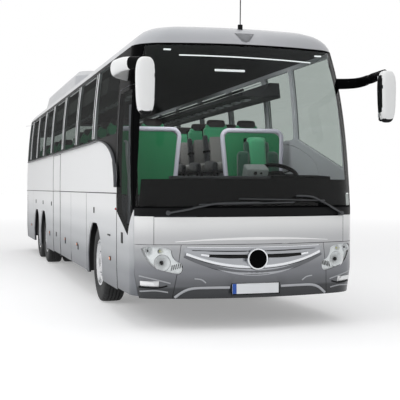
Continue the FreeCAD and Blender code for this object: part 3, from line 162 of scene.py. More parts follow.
@dataclass(frozen=True)
class Finish:
    """An opaque finish: what the real material is, and how it takes the light."""

    name: str
    colour: str
    roughness: float = 0.4
    metallic: float = 0.0
    ior: float = 1.5
    coat: float = 0.0
    grain: Grain = Grain.NONE
    grain_mm: float = 1.0
    grain_depth: float = 0.2
    second: str = ""
    second_mm: float = 400.0
    sheen: float = 0.0
    glow: float = 0.0
    tone_and_shade_by_height: tuple = ()

    def build(self) -> bpy.types.Material:
        """Make the material once and return it."""
        found = bpy.data.materials.get(self.name)
        if found:
            return found
        material = bpy.data.materials.new(self.name)
        tree = empty_tree(material)
        shader = add_node(tree, "ShaderNodeBsdfPrincipled", {
            "Base Color": linear(self.colour), "Roughness": self.roughness, "Metallic": self.metallic,
            "IOR": self.ior, "Coat Weight": self.coat, "Coat Roughness": 0.04,
            "Sheen Weight": self.sheen, "Sheen Roughness": 0.5})
        if self.glow:
            shader.inputs["Emission Color"].default_value = linear(self.colour)
            shader.inputs["Emission Strength"].default_value = self.glow
        place = add_node(tree, "ShaderNodeTexCoord").outputs["Object"]
        self._paint(tree, shader, place)
        self._relief(tree, shader, place)
        add_node(tree, "ShaderNodeOutputMaterial", links={"Surface": shader.outputs[0]})
        material.diffuse_color = linear(self.colour)
        return material

    def _paint(self, tree: bpy.types.NodeTree, shader: bpy.types.Node, place: bpy.types.NodeSocket) -> None:
        """Drive the base colour: a ramp over the height, which paints shade low on the body, and slow
        variation.

        Args:
            tree: the node tree.
            shader: the shader to feed.
            place: the object coordinates.
        """
        colour = None
        if self.tone_and_shade_by_height:
            height = add_node(tree, "ShaderNodeSeparateXYZ", links={"Vector": place}).outputs["Z"]
            low, high = self.tone_and_shade_by_height[0][0], self.tone_and_shade_by_height[-1][0]
            scaled = add_node(tree, "ShaderNodeMapRange",
                              {"From Min": low, "From Max": high, "To Min": 0.0, "To Max": 1.0},
                              {"Value": height}).outputs["Result"]
            ramp = add_node(tree, "ShaderNodeValToRGB", links={"Fac": scaled})
            for i, (z, code) in enumerate(self.tone_and_shade_by_height):
                spot = (z - low) / (high - low)
                stop = ramp.color_ramp.elements[i] if i < 2 else ramp.color_ramp.elements.new(spot)
                stop.position = spot
                stop.color = linear(code)
            ramp.color_ramp.interpolation = "EASE"
            colour = ramp.outputs["Color"]
        if self.second:
            noise = add_node(tree, "ShaderNodeTexNoise",
                             {"Scale": 1000.0 / self.second_mm, "Detail": 3.0, "Roughness": 0.55},
                             {"Vector": place}).outputs["Fac"]
            mask = add_node(tree, "ShaderNodeMapRange",
                            {"From Min": 0.35, "From Max": 0.7, "To Min": 0.0, "To Max": 1.0},
                            {"Value": noise}).outputs["Result"]
            links = {0: mask, 6: colour} if colour else {0: mask}
            colour = add_node(tree, "ShaderNodeMix", {"data_type": "RGBA", 6: linear(self.colour),
                                                      7: linear(self.second)}, links).outputs[2]
        if colour:
            tree.links.new(colour, shader.inputs["Base Color"])

    def _relief(self, tree: bpy.types.NodeTree, shader: bpy.types.Node, place: bpy.types.NodeSocket) -> None:
        """Add the grain's bump.

        Args:
            tree: the node tree.
            shader: the shader to feed.
            place: the object coordinates.
        """
        if self.grain is Grain.NONE:
            return
        scale = 1000.0 / self.grain_mm
        if self.grain is Grain.WEAVE:
            height = add_node(tree, "ShaderNodeTexMagic", {"Scale": scale / 3, "turbulence_depth": 1},
                              {"Vector": place}).outputs["Fac"]
        elif self.grain is Grain.BRUSHED:
            spread = add_node(tree, "ShaderNodeMapping", {"Scale": (1.0, 1.0, 0.03)}, {"Vector": place})
            height = add_node(tree, "ShaderNodeTexNoise", {"Scale": scale, "Detail": 2.0},
                              {"Vector": spread.outputs[0]}).outputs["Fac"]
        elif self.grain is Grain.LEATHER:
            height = add_node(tree, "ShaderNodeTexVoronoi", {"Scale": scale},
                              {"Vector": place}).outputs["Distance"]
        else:
            height = add_node(tree, "ShaderNodeTexNoise", {"Scale": scale, "Detail": 2.0},
                              {"Vector": place}).outputs["Fac"]
        bump = add_node(tree, "ShaderNodeBump", {"Strength": self.grain_depth,
                                                 "Distance": self.grain_mm / 1000.0}, {"Height": height})
        tree.links.new(bump.outputs["Normal"], shader.inputs["Normal"])


@dataclass(frozen=True)
class Glazing:
    """A see-through pane: a tint that lets light pass, and a gloss on the faces turned to the ray."""

    name: str
    tint: str
    gloss: str = "#FFFFFF"
    roughness: float = 0.0
    least: float = 0.0
    most: float = 0.06
    ior: float = 1.25

    def build(self) -> bpy.types.Material:
        """Make the material once and return it."""
        found = bpy.data.materials.get(self.name)
        if found:
            return found
        material = bpy.data.materials.new(self.name)
        tree = empty_tree(material)
        clear = add_node(tree, "ShaderNodeBsdfTransparent", {"Color": linear(self.tint)})
        gloss = add_node(tree, "ShaderNodeBsdfPrincipled", {
            "Base Color": linear(self.gloss), "Metallic": 1.0, "Roughness": self.roughness})
        weight = add_node(tree, "ShaderNodeFresnel", {"IOR": self.ior}).outputs[0]
        kept = add_node(tree, "ShaderNodeClamp", {"Min": self.least, "Max": self.most}, {"Value": weight})
        back = add_node(tree, "ShaderNodeNewGeometry").outputs["Backfacing"]
        share = add_node(tree, "ShaderNodeMix", {"data_type": "FLOAT", 3: 0.0},
                         {0: back, 2: kept.outputs[0]}).outputs[0]
        add_node(tree, "ShaderNodeOutputMaterial", links={"Surface": mix_shaders(tree, share, clear, gloss)})
        material.diffuse_color = linear(self.tint)
        return material


# Gloss coach enamel: a hard clear coat over white; the ramp to grey low on the body is painted shade and a
# painted reflection of the darker floor.
SIDE_PAINT = Finish("pearl_white_enamel_side", "#F2F3F4", 0.34, ior=1.18, coat=0.08, grain=Grain.PEEL,
                    grain_mm=6.0, grain_depth=0.02,
                    tone_and_shade_by_height=((0.30, "#66696E"), (0.55, "#878A8F"), (0.80, "#B0B3B6"), (1.05, "#D3D5D7"),
                          (1.30, "#E9EAEB")))
# The nose's ramp is partly silver-grey paint low on the nose and partly painted shade, near black under the
# bumper.
NOSE_PAINT = Finish("pearl_white_enamel_nose", "#E6E7E9", 0.30, ior=1.35, coat=0.25, grain=Grain.PEEL,
                    grain_mm=6.0, grain_depth=0.02,
                    tone_and_shade_by_height=((0.30, "#2B2C2F"), (0.43, "#3B3D40"), (0.47, "#65676B"), (0.62, "#808287"),
                          (0.82, "#A6A8AB"), (0.93, "#C4C5C7"), (1.15, "#ECEDED")))
ROOF_PAINT = Finish("white_enamel_roof", "#B9BABE", 0.36, coat=0.3, second="#AEB0B4", second_mm=900.0)
# Black band film: its low index keeps the bright surroundings from greying it.
BAND_PAINT = Finish("black_gloss_band", "#0B0B0C", 0.24, ior=1.035)
SATIN_BLACK = Finish("satin_black_moulding", "#121314", 0.45, ior=1.2, grain=Grain.MOULDED, grain_mm=1.2,
                     grain_depth=0.12)
DARK_PLASTIC = Finish("grained_dark_plastic", "#0A0A0B", 0.7, ior=1.12, grain=Grain.MOULDED, grain_mm=1.5,
                       grain_depth=0.08)
# Near-black painted shade for the dark gaps and slots between the grille's bars.
GRILLE_GAP_SHADE = Finish("painted_grille_gap_shade", "#050506", 0.9)
# Vacuum-metallised and chromed plastics: bright, slightly blue.
CHROME = Finish("bright_chromed_plastic", "#E3E5E8", 0.10, metallic=1.0)
SATIN_CHROME = Finish("satin_chromed_plastic", "#A4A6AA", 0.28, metallic=1.0, grain=Grain.BRUSHED,
                      grain_mm=0.8, grain_depth=0.05)
REFLECTOR = Finish("metallised_reflector", "#F7F8F9", 0.2, metallic=0.12)
ALLOY = Finish("polished_forged_aluminium", "#D9DADC", 0.22, metallic=1.0, grain=Grain.BRUSHED,
               grain_mm=1.0, grain_depth=0.06)
DISC_ALLOY = Finish("brushed_aluminium_cover", "#9FA1A4", 0.34, metallic=0.9, grain=Grain.BRUSHED,
                    grain_mm=1.0, grain_depth=0.08)
STEEL_NUT = Finish("zinc_plated_steel", "#8E9093", 0.35, metallic=1.0)
# Tyre rubber: dull carbon black, greyer where dust clings.
TYRE_RUBBER = Finish("tyre_rubber", "#1C1D1E", 0.72, grain=Grain.MOULDED, grain_mm=2.0, grain_depth=0.3,
                     second="#2B2C2D", second_mm=120.0)
SEAL_RUBBER = Finish("seal_rubber", "#101112", 0.6)
CHASSIS = Finish("chassis_paint", "#1D1E20", 0.5, second="#2A2B2D", second_mm=200.0)
CASTING = Finish("painted_casting", "#2A2C2E", 0.55, grain=Grain.MOULDED, grain_mm=3.0, grain_depth=0.3)
VINYL = Finish("sheet_vinyl_floor", "#3B3D42", 0.5, second="#44474D", second_mm=60.0)
LINING = Finish("light_grey_lining", "#B2B4B9", 0.6, grain=Grain.MOULDED, grain_mm=1.5, grain_depth=0.1)
CEILING = Finish("dark_headliner", "#2A2B2E", 0.75, grain=Grain.WEAVE, grain_mm=2.0, grain_depth=0.2)
# Woven seat plush: soft, with a sheen at grazing angles.
PLUSH_GREEN = Finish("green_woven_plush", "#358A61", 0.85, grain=Grain.WEAVE, grain_mm=3.0, grain_depth=0.35,
                     second="#357D5A", second_mm=25.0, sheen=0.35)
PLUSH_DEEP = Finish("deep_green_woven_plush", "#14382B", 0.85, grain=Grain.WEAVE, grain_mm=3.0,
                    grain_depth=0.35, sheen=0.3)
PLUSH_GREY = Finish("grey_woven_plush", "#7C7B79", 0.88, grain=Grain.WEAVE, grain_mm=3.0, grain_depth=0.35,
                    second="#6B6A69", second_mm=18.0, sheen=0.25)
PLUSH_DARK = Finish("charcoal_woven_plush", "#26282B", 0.88, grain=Grain.WEAVE, grain_mm=3.0,
                    grain_depth=0.35, sheen=0.2)
HIDE = Finish("dark_brown_hide", "#231F20", 0.42, grain=Grain.LEATHER, grain_mm=4.0, grain_depth=0.25)
PANEL_GREEN = Finish("green_felt_panel", "#1F7047", 0.9, grain=Grain.WEAVE, grain_mm=2.5, grain_depth=0.25,
                     sheen=0.3)
LAVENDER = Finish("pale_lilac_silver_plastic", "#C3C0CE", 0.35)
HOUSING = Finish("grey_instrument_housing", "#7E8483", 0.45, grain=Grain.MOULDED, grain_mm=1.2,
                 grain_depth=0.15)
WHITE_LED = Finish("lit_strip_lens", "#E8EAEC", 0.3, glow=0.55)
AMBER = Finish("amber_acrylic", "#E0761A", 0.15, coat=0.5)
YELLOW = Finish("yellow_bulb_glass", "#E8E23C", 0.12, coat=0.5)
RED_LENS = Finish("red_acrylic", "#A3121C", 0.12, coat=0.6)
PLATE_WHITE = Finish("reflective_plate_sheet", "#E9ECEF", 0.35)
PLATE_BLUE = Finish("blue_plate_band", "#1B4FA8", 0.35)
RACK_DARK = Finish("dark_rack_underside", "#1D1E20", 0.6)
WIPER_GREY = Finish("painted_wiper_arm", "#3C3E41", 0.45)
# Pale strips that are painted reflections at the window pillars; painted soft highlights on the bumper's
# edges, the same grey giving painted shade round the roof's recess; and the grille's duller bars.
PILLAR_REFLECTION = Finish("painted_pillar_reflection", "#DADCDE", 0.4)
EDGE_HIGHLIGHT_AND_SHADE = Finish("painted_edge_highlight_and_shade", "#A3A5A9", 0.35)
GRILLE_GREY = Finish("dull_silver_bar", "#66686C", 0.35)
# Near-white painted highlight along the hood's crest.
CREST_HIGHLIGHT = Finish("painted_crest_highlight", "#F6F6F7", 0.3)
# Anodised belt moulding: dull grey beside the white panels.
BELT_GREY = Finish("anodised_grey_moulding", "#55575B", 0.38, metallic=0.3, grain=Grain.BRUSHED, grain_mm=1.0,
                   grain_depth=0.05)
MIRROR_GLASS = Finish("silvered_mirror_glass", "#DADDE0", 0.03, metallic=1.0)
# Laminated and toughened glass: each pane has two faces, so each face carries half the tint.
SCREEN_GLASS = Glazing("laminated_windscreen_glass", "#FAFCFB", least=0.010, most=0.10)
TINTED_GLASS = Glazing("tinted_side_glass", "#CDD1CF", least=0.01, most=0.028)
LENS_GLASS = Glazing("clear_lamp_lens", "#FBFCFC", least=0.02, most=0.12, ior=1.35)


# Mesh helpers


def finish_mesh(name: str, bm: bmesh.types.BMesh, finishes: list, body: str = "coach", angle: float = 35.0,
                replaces: tuple = ()) -> bpy.types.Object:
    """Turn a bmesh into a shown piece.

    Args:
        name: the piece's name.
        bm: the mesh, which is freed.
        finishes: the finishes by material index.
        body: the CAD body that it rides on.
        angle: the largest angle that still shades smooth, in degrees.
        replaces: CAD nodes that it stands for.

    Returns:
        The new object.
    """
    mesh = bpy.data.meshes.new(name)
    bm.to_mesh(mesh)
    bm.free()
    mesh.shade_smooth()
    mesh.set_sharp_from_angle(angle=math.radians(angle))
    for finish in finishes:
        mesh.materials.append(finish.build())
    piece = bpy.data.objects.new(name, mesh)
    bpy.context.scene.collection.objects.link(piece)
    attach(piece, body)
    if replaces:
        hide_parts(*replaces)
    LOG.info("%s: %d faces on %s", name, len(mesh.polygons), body)
    return piece


def thicken(form: bmesh.types.BMesh, faces: list, by: Vector) -> None:
    """Extrude faces into a closed form.

    Args:
        form: the mesh.
        faces: the faces to extrude.
        by: how far and which way.
    """
    grown = bmesh.ops.extrude_face_region(form, geom=faces)["geom"]
    bmesh.ops.translate(form, vec=by, verts=[v for v in grown if isinstance(v, bmesh.types.BMVert)])
    bmesh.ops.recalc_face_normals(form, faces=form.faces)


def slice_mesh(bm: bmesh.types.BMesh, point: Vector, normal: Vector, clear: bool = False) -> list:
    """Cut a mesh along a plane.

    Args:
        bm: the mesh.
        point: a point of the plane.
        normal: its normal.
        clear: delete what lies behind the plane.

    Returns:
        The edges along the cut.
    """
    cut = bmesh.ops.bisect_plane(bm, geom=bm.verts[:] + bm.edges[:] + bm.faces[:], dist=1e-6,
                                 plane_co=point, plane_no=normal, clear_inner=clear)
    return [e for e in cut["geom_cut"] if isinstance(e, bmesh.types.BMEdge)]


def tilted(base: Vector, shift: tuple, pitch: float, yaw: float = 0.0, roll: float = 0.0) -> Matrix:
    """Place a pad on a seat.

    Args:
        base: the seat's foot.
        shift: the pad's middle from there.
        pitch: its lean about X, in degrees.
        yaw: its turn about Z, in degrees.
        roll: its turn about its own Y, in degrees.

    Returns:
        The pad's matrix.
    """
    matrix = Matrix.Translation(base + Vector(shift))
    for angle, axis in ((yaw, "Z"), (pitch, "X"), (roll, "Y")):
        matrix = matrix @ Matrix.Rotation(math.radians(angle), 4, axis)
    return matrix


class Clay:
    """A growing mesh: each form is shaped in a bmesh of its own and then joined to it."""

    def __init__(self) -> None:
        """Start empty."""
        self.bm = bmesh.new()

    def add(self, form: bmesh.types.BMesh, index: int = 0, matrix: Matrix | None = None) -> None:
        """Join a form to the mesh.

        Args:
            form: the form, which is freed.
            index: its material index.
            matrix: where it goes.
        """
        for face in form.faces:
            face.material_index = index
        if matrix:
            bmesh.ops.transform(form, matrix=matrix, verts=form.verts)
        self.join(form)

    def join(self, form: bmesh.types.BMesh) -> None:
        """Join a form that already has its material indices."""
        mesh = bpy.data.meshes.new("form")
        form.to_mesh(mesh)
        form.free()
        self.bm.from_mesh(mesh)
        bpy.data.meshes.remove(mesh)

    def copy(self, mesh: bpy.types.Mesh, matrix: Matrix) -> None:
        """Join a moved copy of a finished mesh."""
        moved = mesh.copy()
        moved.transform(matrix)
        self.bm.from_mesh(moved)
        bpy.data.meshes.remove(moved)

    def pillow(self, size: tuple, matrix: Matrix, radius: float, crown: float, index: int = 0,
               cuts: int = 3) -> None:
        """Add a crowned, round-edged pad.

        Args:
            size: width, depth and height.
            matrix: where its middle goes.
            radius: edge rounding.
            crown: how far the large faces bulge, as a share of the height.
            index: material index.
            cuts: subdivisions of each long edge.
        """
        form = bmesh.new()
        bmesh.ops.create_cube(form, size=1.0)
        bmesh.ops.scale(form, vec=Vector(size), verts=form.verts)
        bmesh.ops.bevel(form, geom=form.edges[:], offset=radius, segments=3 if radius > 0.01 else 2,
                        profile=0.5, affect="EDGES", material=-1)
        if crown:
            long_edges = [e for e in form.edges if e.calc_length() > 2.2 * radius]
            bmesh.ops.subdivide_edges(form, edges=long_edges, cuts=cuts, use_grid_fill=True)
            half = Vector(size) / 2
            for vert in form.verts:
                u = vert.co.x / half.x
                v = vert.co.y / half.y
                swell = max(0.0, 1 - u * u) * max(0.0, 1 - v * v)
                vert.co.z += math.copysign(crown * size[2] * swell, vert.co.z)
                pinch = 1 - 0.04 * (1 - swell)
                vert.co.x *= pinch
                vert.co.y *= pinch
        self.add(form, index, matrix)

    def bar(self, points: list, radius: float, sides: int = 10, flat: float = 1.0, index: int = 0,
            closed: bool = False, up: Vector = UP, taper: float = 1.0) -> None:
        """Sweep a round or flattened ring along points.

        Args:
            points: the path.
            radius: half the width of the section.
            sides: sides of the section.
            flat: thickness over width of the section.
            index: material index.
            closed: join the last ring to the first.
            up: the direction that the section's width is square to.
            taper: the last ring's width over the first's.
        """
        path = [Vector(p) for p in points]
        count = len(path)
        form = bmesh.new()
        rings = []
        for i, point in enumerate(path):
            ahead = path[(i + 1) % count] if closed or i < count - 1 else path[i]
            behind = path[i - 1] if closed or i > 0 else path[i]
            along = (ahead - behind).normalized()
            side = along.cross(up)
            if side.length < 1e-4:
                side = along.cross(ACROSS)
            side.normalize()
            rise = side.cross(along)
            width = radius * (1 + (taper - 1) * i / max(1, count - 1))
            basis = Matrix((side * width, rise * width * flat, along)).transposed().to_4x4()
            ring = bmesh.ops.create_circle(form, segments=sides, radius=1.0,
                                           matrix=Matrix.Translation(point) @ basis)["verts"]
            rings.append(list({e for v in ring for e in v.link_edges}))
        pairs = list(zip(rings, rings[1:]))
        if closed:
            pairs.append((rings[-1], rings[0]))
        for first, second in pairs:
            bmesh.ops.bridge_loops(form, edges=first + second)
        if not closed:
            for ring in (rings[0], rings[-1]):
                bmesh.ops.contextual_create(form, geom=ring)
        bmesh.ops.recalc_face_normals(form, faces=form.faces)
        self.add(form, index)

    def slab(self, outline: list, thickness: Vector, index: int = 0, bevel: float = 0.0) -> None:
        """Extrude a closed outline into a plate with softened edges.

        Args:
            outline: corner points in order.
            thickness: the extrusion.
            index: material index.
            bevel: edge rounding.
        """
        form = bmesh.new()
        face = form.faces.new([form.verts.new(p) for p in outline])
        thicken(form, [face], thickness)
        if bevel:
            bmesh.ops.bevel(form, geom=form.edges[:], offset=bevel, segments=2, profile=0.5, affect="EDGES",
                            material=-1)
        self.add(form, index)

    def turned(self, profile: list, centre: Vector, axis: Vector, steps: int, index: int = 0) -> None:
        """Spin a profile of (offset along the axis, radius) about the axis.

        Args:
            profile: the section.
            centre: the axis's point.
            axis: its direction, along X or Y.
            steps: steps round it.
            index: material index.
        """
        form = bmesh.new()
        verts = [form.verts.new(centre + axis * offset + Vector((0, 0, r))) for offset, r in profile]
        edges = [form.edges.new(pair) for pair in zip(verts, verts[1:])]
        bmesh.ops.spin(form, geom=verts + edges, cent=centre, axis=axis, dvec=(0, 0, 0), angle=2 * math.pi,
                       steps=steps, use_merge=True)
        bmesh.ops.remove_doubles(form, verts=form.verts, dist=1e-6)
        bmesh.ops.recalc_face_normals(form, faces=form.faces)
        self.add(form, index)

    def ball(self, centre: Vector, radius: float, index: int = 0, squash: tuple = (1, 1, 1),
             parts: int = 20) -> None:
        """Add a ball or a squashed ball.

        Args:
            centre: its middle.
            radius: its radius.
            index: material index.
            squash: scale along each axis.
            parts: segments round it.
        """
        form = bmesh.new()
        bmesh.ops.create_uvsphere(form, u_segments=parts, v_segments=parts // 2, radius=radius)
        self.add(form, index, Matrix.Translation(centre) @ Matrix.Diagonal((*squash, 1)))

    def peg(self, centre: Vector, axis: Vector, radius: float, depth: float, sides: int = 16, index: int = 0,
            tip: float = 1.0) -> None:
        """Add a capped cylinder or a tapered one.

        Args:
            centre: its middle.
            axis: its direction.
            radius: its foot's radius.
            depth: its length.
            sides: sides round it.
            index: material index.
            tip: the tip's radius over the foot's.
        """
        form = bmesh.new()
        bmesh.ops.create_cone(form, cap_ends=True, segments=sides, radius1=radius, radius2=radius * tip,
                              depth=depth)
        turn = Vector(axis).to_track_quat("Z", "Y").to_matrix().to_4x4()
        self.add(form, index, Matrix.Translation(centre) @ turn)


class Skin:
    """The CAD skins that trims are laid on."""

    def __init__(self, names: list) -> None:
        """Collect the named nodes' meshes."""
        verts, faces = [], []
        for name in names:
            mesh = frame["nodes"][name].data
            start = len(verts)
            verts += [v.co.copy() for v in mesh.vertices]
            faces += [[start + i for i in p.vertices] for p in mesh.polygons]
        self.tree = BVHTree.FromPolygons(verts, faces)

    def front(self, x: float, z: float, lift: float = 0.0) -> Vector:
        """The skin's point seen from the front at (x, z), lifted forwards.

        Args:
            x: across.
            z: height.
            lift: distance in front of the skin.

        Returns:
            The point.
        """
        hit, normal, _, _ = self.tree.ray_cast(Vector((x, -12, z)), Vector((0, 1, 0)))
        if hit is None:
            hit, normal = Vector((x, station(0.3), z)), Vector((0, -1, 0))
        if normal.y > 0:
            normal = -normal
        return hit + normal * lift

    def flank(self, side: float, s: float, z: float, lift: float = 0.0) -> Vector:
        """The skin's point seen from a side at station s and height z.

        Args:
            side: +1 or -1.
            s: metres behind the front bumper.
            z: height.
            lift: distance outside the skin.

        Returns:
            The point.
        """
        hit, _, _, _ = self.tree.ray_cast(Vector((side * 4, station(s), z)), Vector((-side, 0, 0)))
        if hit is None:
            hit = Vector((side * 1.27, station(s), z))
        return hit + Vector((side * lift, 0, 0))

    def nose_run(self, points: list, lift: float = 0.0) -> list:
        """The skin's points seen from the front at each (x, z)."""
        return [self.front(x, z, lift) for x, z in points]

    def flank_run(self, side: float, points: list, lift: float = 0.0) -> list:
        """The skin's points seen from a side at each (station, height)."""
        return [self.flank(side, s, z, lift) for s, z in points]

    def roof(self, x: float, s: float, missing: float) -> Vector:
        """The skin's point seen from above, at a given height where nothing is met."""
        hit, _, _, _ = self.tree.ray_cast(Vector((x, station(s), 5)), -UP)
        return hit or Vector((x, station(s), missing))

    def tail(self, x: float, z: float, lift: float = 0.0) -> Vector:
        """The skin's point seen from behind at (x, z)."""
        hit, _, _, _ = self.tree.ray_cast(Vector((x, 12, z)), Vector((0, -1, 0)))
        if hit is None:
            hit = Vector((x, station(13.1), z))
        return hit + Vector((0, lift, 0))


def mirrored(side: float, points: tuple) -> list:
    """Put (x, z) points on one side.

    Args:
        side: +1 or -1.
        points: the points of the +X side.

    Returns:
        The points of that side.
    """
    return [(side * x, z) for x, z in points]


def spread(points: list, steps: int) -> list:
    """Resample a polyline of tuples through a smooth curve.

    Args:
        points: two or more tuples.
        steps: pieces per run.

    Returns:
        The finer list.
    """
    if len(points) < 3:
        a, b = points
        return [tuple(p + (q - p) * i / steps for p, q in zip(a, b)) for i in range(steps + 1)]
    out = []
    padded = [points[0], *points, points[-1]]
    for i in range(len(points) - 1):
        p0, p1, p2, p3 = padded[i:i + 4]
        for k in range(steps):
            t = k / steps
            out.append(tuple(0.5 * (2 * b + (c - a) * t + (2 * a - 5 * b + 4 * c - d) * t * t
                                    + (3 * b - a - 3 * c + d) * t ** 3)
                             for a, b, c, d in zip(p0, p1, p2, p3)))
    out.append(tuple(points[-1]))
    return out


# Sub-assemblies

# Moving panels of the sides: body, side, first and last station, top.
PANELS = (("front_door", -1, 0.369, 1.180, 2.600), ("mid_door", -1, 6.430, 7.370, 2.060),
          ("flap_right_front", -1, 3.467, 5.034, 1.424), ("flap_right_rear", -1, 5.046, 6.342, 1.424),
          ("flap_left_front", 1, 3.467, 5.034, 1.424), ("flap_left_middle", 1, 5.046, 6.604, 1.424),
          ("flap_left_rear", 1, 6.616, 8.303, 1.424))


def panel_at(side: float, s: float, z: float) -> str:
    """Name the body that carries a spot on a side.

    Args:
        side: +1 or -1.
        s: metres behind the front bumper.
        z: height.

    Returns:
        A moving panel's body, or coach.
    """
    for name, hand, first, last, top in PANELS:
        if hand == side and first <= s <= last and z <= top:
            return name
    return "coach"


FLAPS = "flap_left_front flap_left_middle flap_left_rear flap_right_front flap_right_rear"
# Outer finishes of the CAD nodes, in the order in which they are dressed.
PAINTS = ((SIDE_PAINT, f"skirts side_panels {FLAPS} mid_door front_door rear_wall rear_bumper engine_lid"),
          (NOSE_PAINT, "front_mask front_flap bumper"), (ROOF_PAINT, "roof roof_pod"),
          (BAND_PAINT, "window_bands"), (SATIN_BLACK, "cowl"), (SCREEN_GLASS, "windscreen"),
          (TINTED_GLASS, "glazing front_door_glass"), (LENS_GLASS, "lamp_lenses"),
          (REFLECTOR, "headlamps"), (RED_LENS, "tail_lamps"), (SATIN_CHROME, "grille"),
          (CHASSIS, "underframe"), (VINYL, "deck stairs"), (CHASSIS, "end_frames tow_socket"),
          (SATIN_BLACK, "hinge_rods"), (CASTING, "engine axles knuckle_left knuckle_right"),
          (CHASSIS, "front_door_arm mid_door_arm"), (RACK_DARK, "luggage_racks"),
          (DARK_PLASTIC, "dashboard"), (SATIN_BLACK, "wipers"), (NOSE_PAINT, "mirror_left mirror_right"))
# Finishes of the inner faces, where they differ.
BACKS = ((CHASSIS, f"skirts {FLAPS} rear_bumper engine_lid front_mask front_flap"),
         (LINING, "side_panels rear_wall window_bands"), (DARK_PLASTIC, "mid_door front_door"),
         (SATIN_BLACK, "bumper"), (CEILING, "roof"))


def by_node(table: tuple) -> dict:
    """Turn a table of (finish, node names) into each node's finish.

    Args:
        table: the rows.

    Returns:
        Finishes by node, in the table's order.
    """
    return {node: finish for finish, nodes in table for node in nodes.split()}


@dataclass
class BodyShell:
    """Paint and glass on the CAD body, with its curved skins merged and smoothed."""

    paints: dict = field(default_factory=lambda: by_node(PAINTS))
    backs: dict = field(default_factory=lambda: by_node(BACKS))
    facing: float = 0.2
    apron: tuple = ((0.40, 1.215), (0.56, 0.980), (1.18, 1.222))
    cuts: dict = field(default_factory=lambda: {"mirror_right": -0.440, "mirror_left": -0.172})

    def build(self) -> None:
        """Replace each skin by a merged, smooth copy with its finish."""
        for node, finish in self.paints.items():
            self._smooth(node, finish)

    def _outward(self, place: Vector) -> Vector:
        """Direction from the body's core to a place on its skin.

        Args:
            place: the point.

        Returns:
            A unit vector.
        """
        core = Vector((min(max(place.x, -0.9), 0.9), min(max(place.y, station(0.75)), station(12.5)),
                       min(max(place.z, 0.9), 2.9)))
        return (place - core).normalized()

    def _smooth(self, node: str, finish: "Finish | Glazing") -> None:
        """Copy a node's mesh, merge it, give its back and edges their own finish and shade it smooth.

        Args:
            node: the CAD node.
            finish: its finish.
        """
        bm = bmesh.new()
        bm.from_mesh(frame["nodes"][node].data)
        bmesh.ops.remove_doubles(bm, verts=bm.verts, dist=1e-5)
        finishes = [finish, self.backs.get(node, finish), BAND_PAINT]
        if node == "front_door":
            for (s0, z0), (s1, z1) in zip(self.apron, self.apron[1:]):
                slope = Vector((0, s1 - s0, z1 - z0)).normalized()
                slice_mesh(bm, (0, station(s0), z0), slope.cross(ACROSS))
        if node == "windscreen":
            for point, normal in self._border_planes():
                slice_mesh(bm, point, normal)
        if node in self.cuts:
            bmesh.ops.holes_fill(bm, edges=slice_mesh(bm, (0, station(self.cuts[node]), 0), BACK, clear=True))
        for face in bm.faces:
            middle = face.calc_center_median()
            back = node in self.backs and face.normal.dot(self._outward(middle)) < self.facing
            face.material_index = 1 if back else 0
            if ((node == "front_door" and not back and self._above_apron(middle))
                    or (node == "windscreen" and self._on_border(middle))
                    or (node in self.cuts and self._mirror_dark(node, middle, face.normal))):
                face.material_index = 2
        body = next(name for name, parts in frame["record"]["behaviour"]["bodies"].items() if node in parts)
        finish_mesh(node + "_skin", bm, finishes, body, angle=24.0, replaces=(node,))

    def _above_apron(self, place: Vector) -> bool:
        """Whether a point of the front door lies over the slanted foot of its black apron."""
        s = place.y - FRONT_Y
        return all(place.z > z0 + (s - s0) * (z1 - z0) / (s1 - s0)
                   for (s0, z0), (s1, z1) in zip(self.apron, self.apron[1:]))

    def _border_planes(self) -> list:
        """Planes of the windscreen's printed black border: (point, normal) pairs."""
        planes = [(Vector((0, 0, 3.036)), UP), (Vector((0, 0, 1.300)), -UP)]
        for side in (-1, 1):
            planes.append((Vector((side * 1.238, 0, 1.28)), Vector((side * 1.78, 0, 0.120)).normalized()))
        return planes

    def _on_border(self, place: Vector) -> bool:
        """Whether a point of the windscreen lies on its printed border."""
        return any((place - point).dot(normal) > 0 for point, normal in self._border_planes())

    def _mirror_dark(self, node: str, place: Vector, normal: Vector) -> bool:
        """Whether a mirror's arm is black there: the left root and inner side, the right front end.

        Args:
            node: mirror_left or mirror_right.
            place: the point.
            normal: the face's normal.

        Returns:
            True where the moulding is black.
        """
        s = place.y - FRONT_Y
        if node == "mirror_left":
            return s > 0.10 or normal.x < 0.45
        return s < -0.20


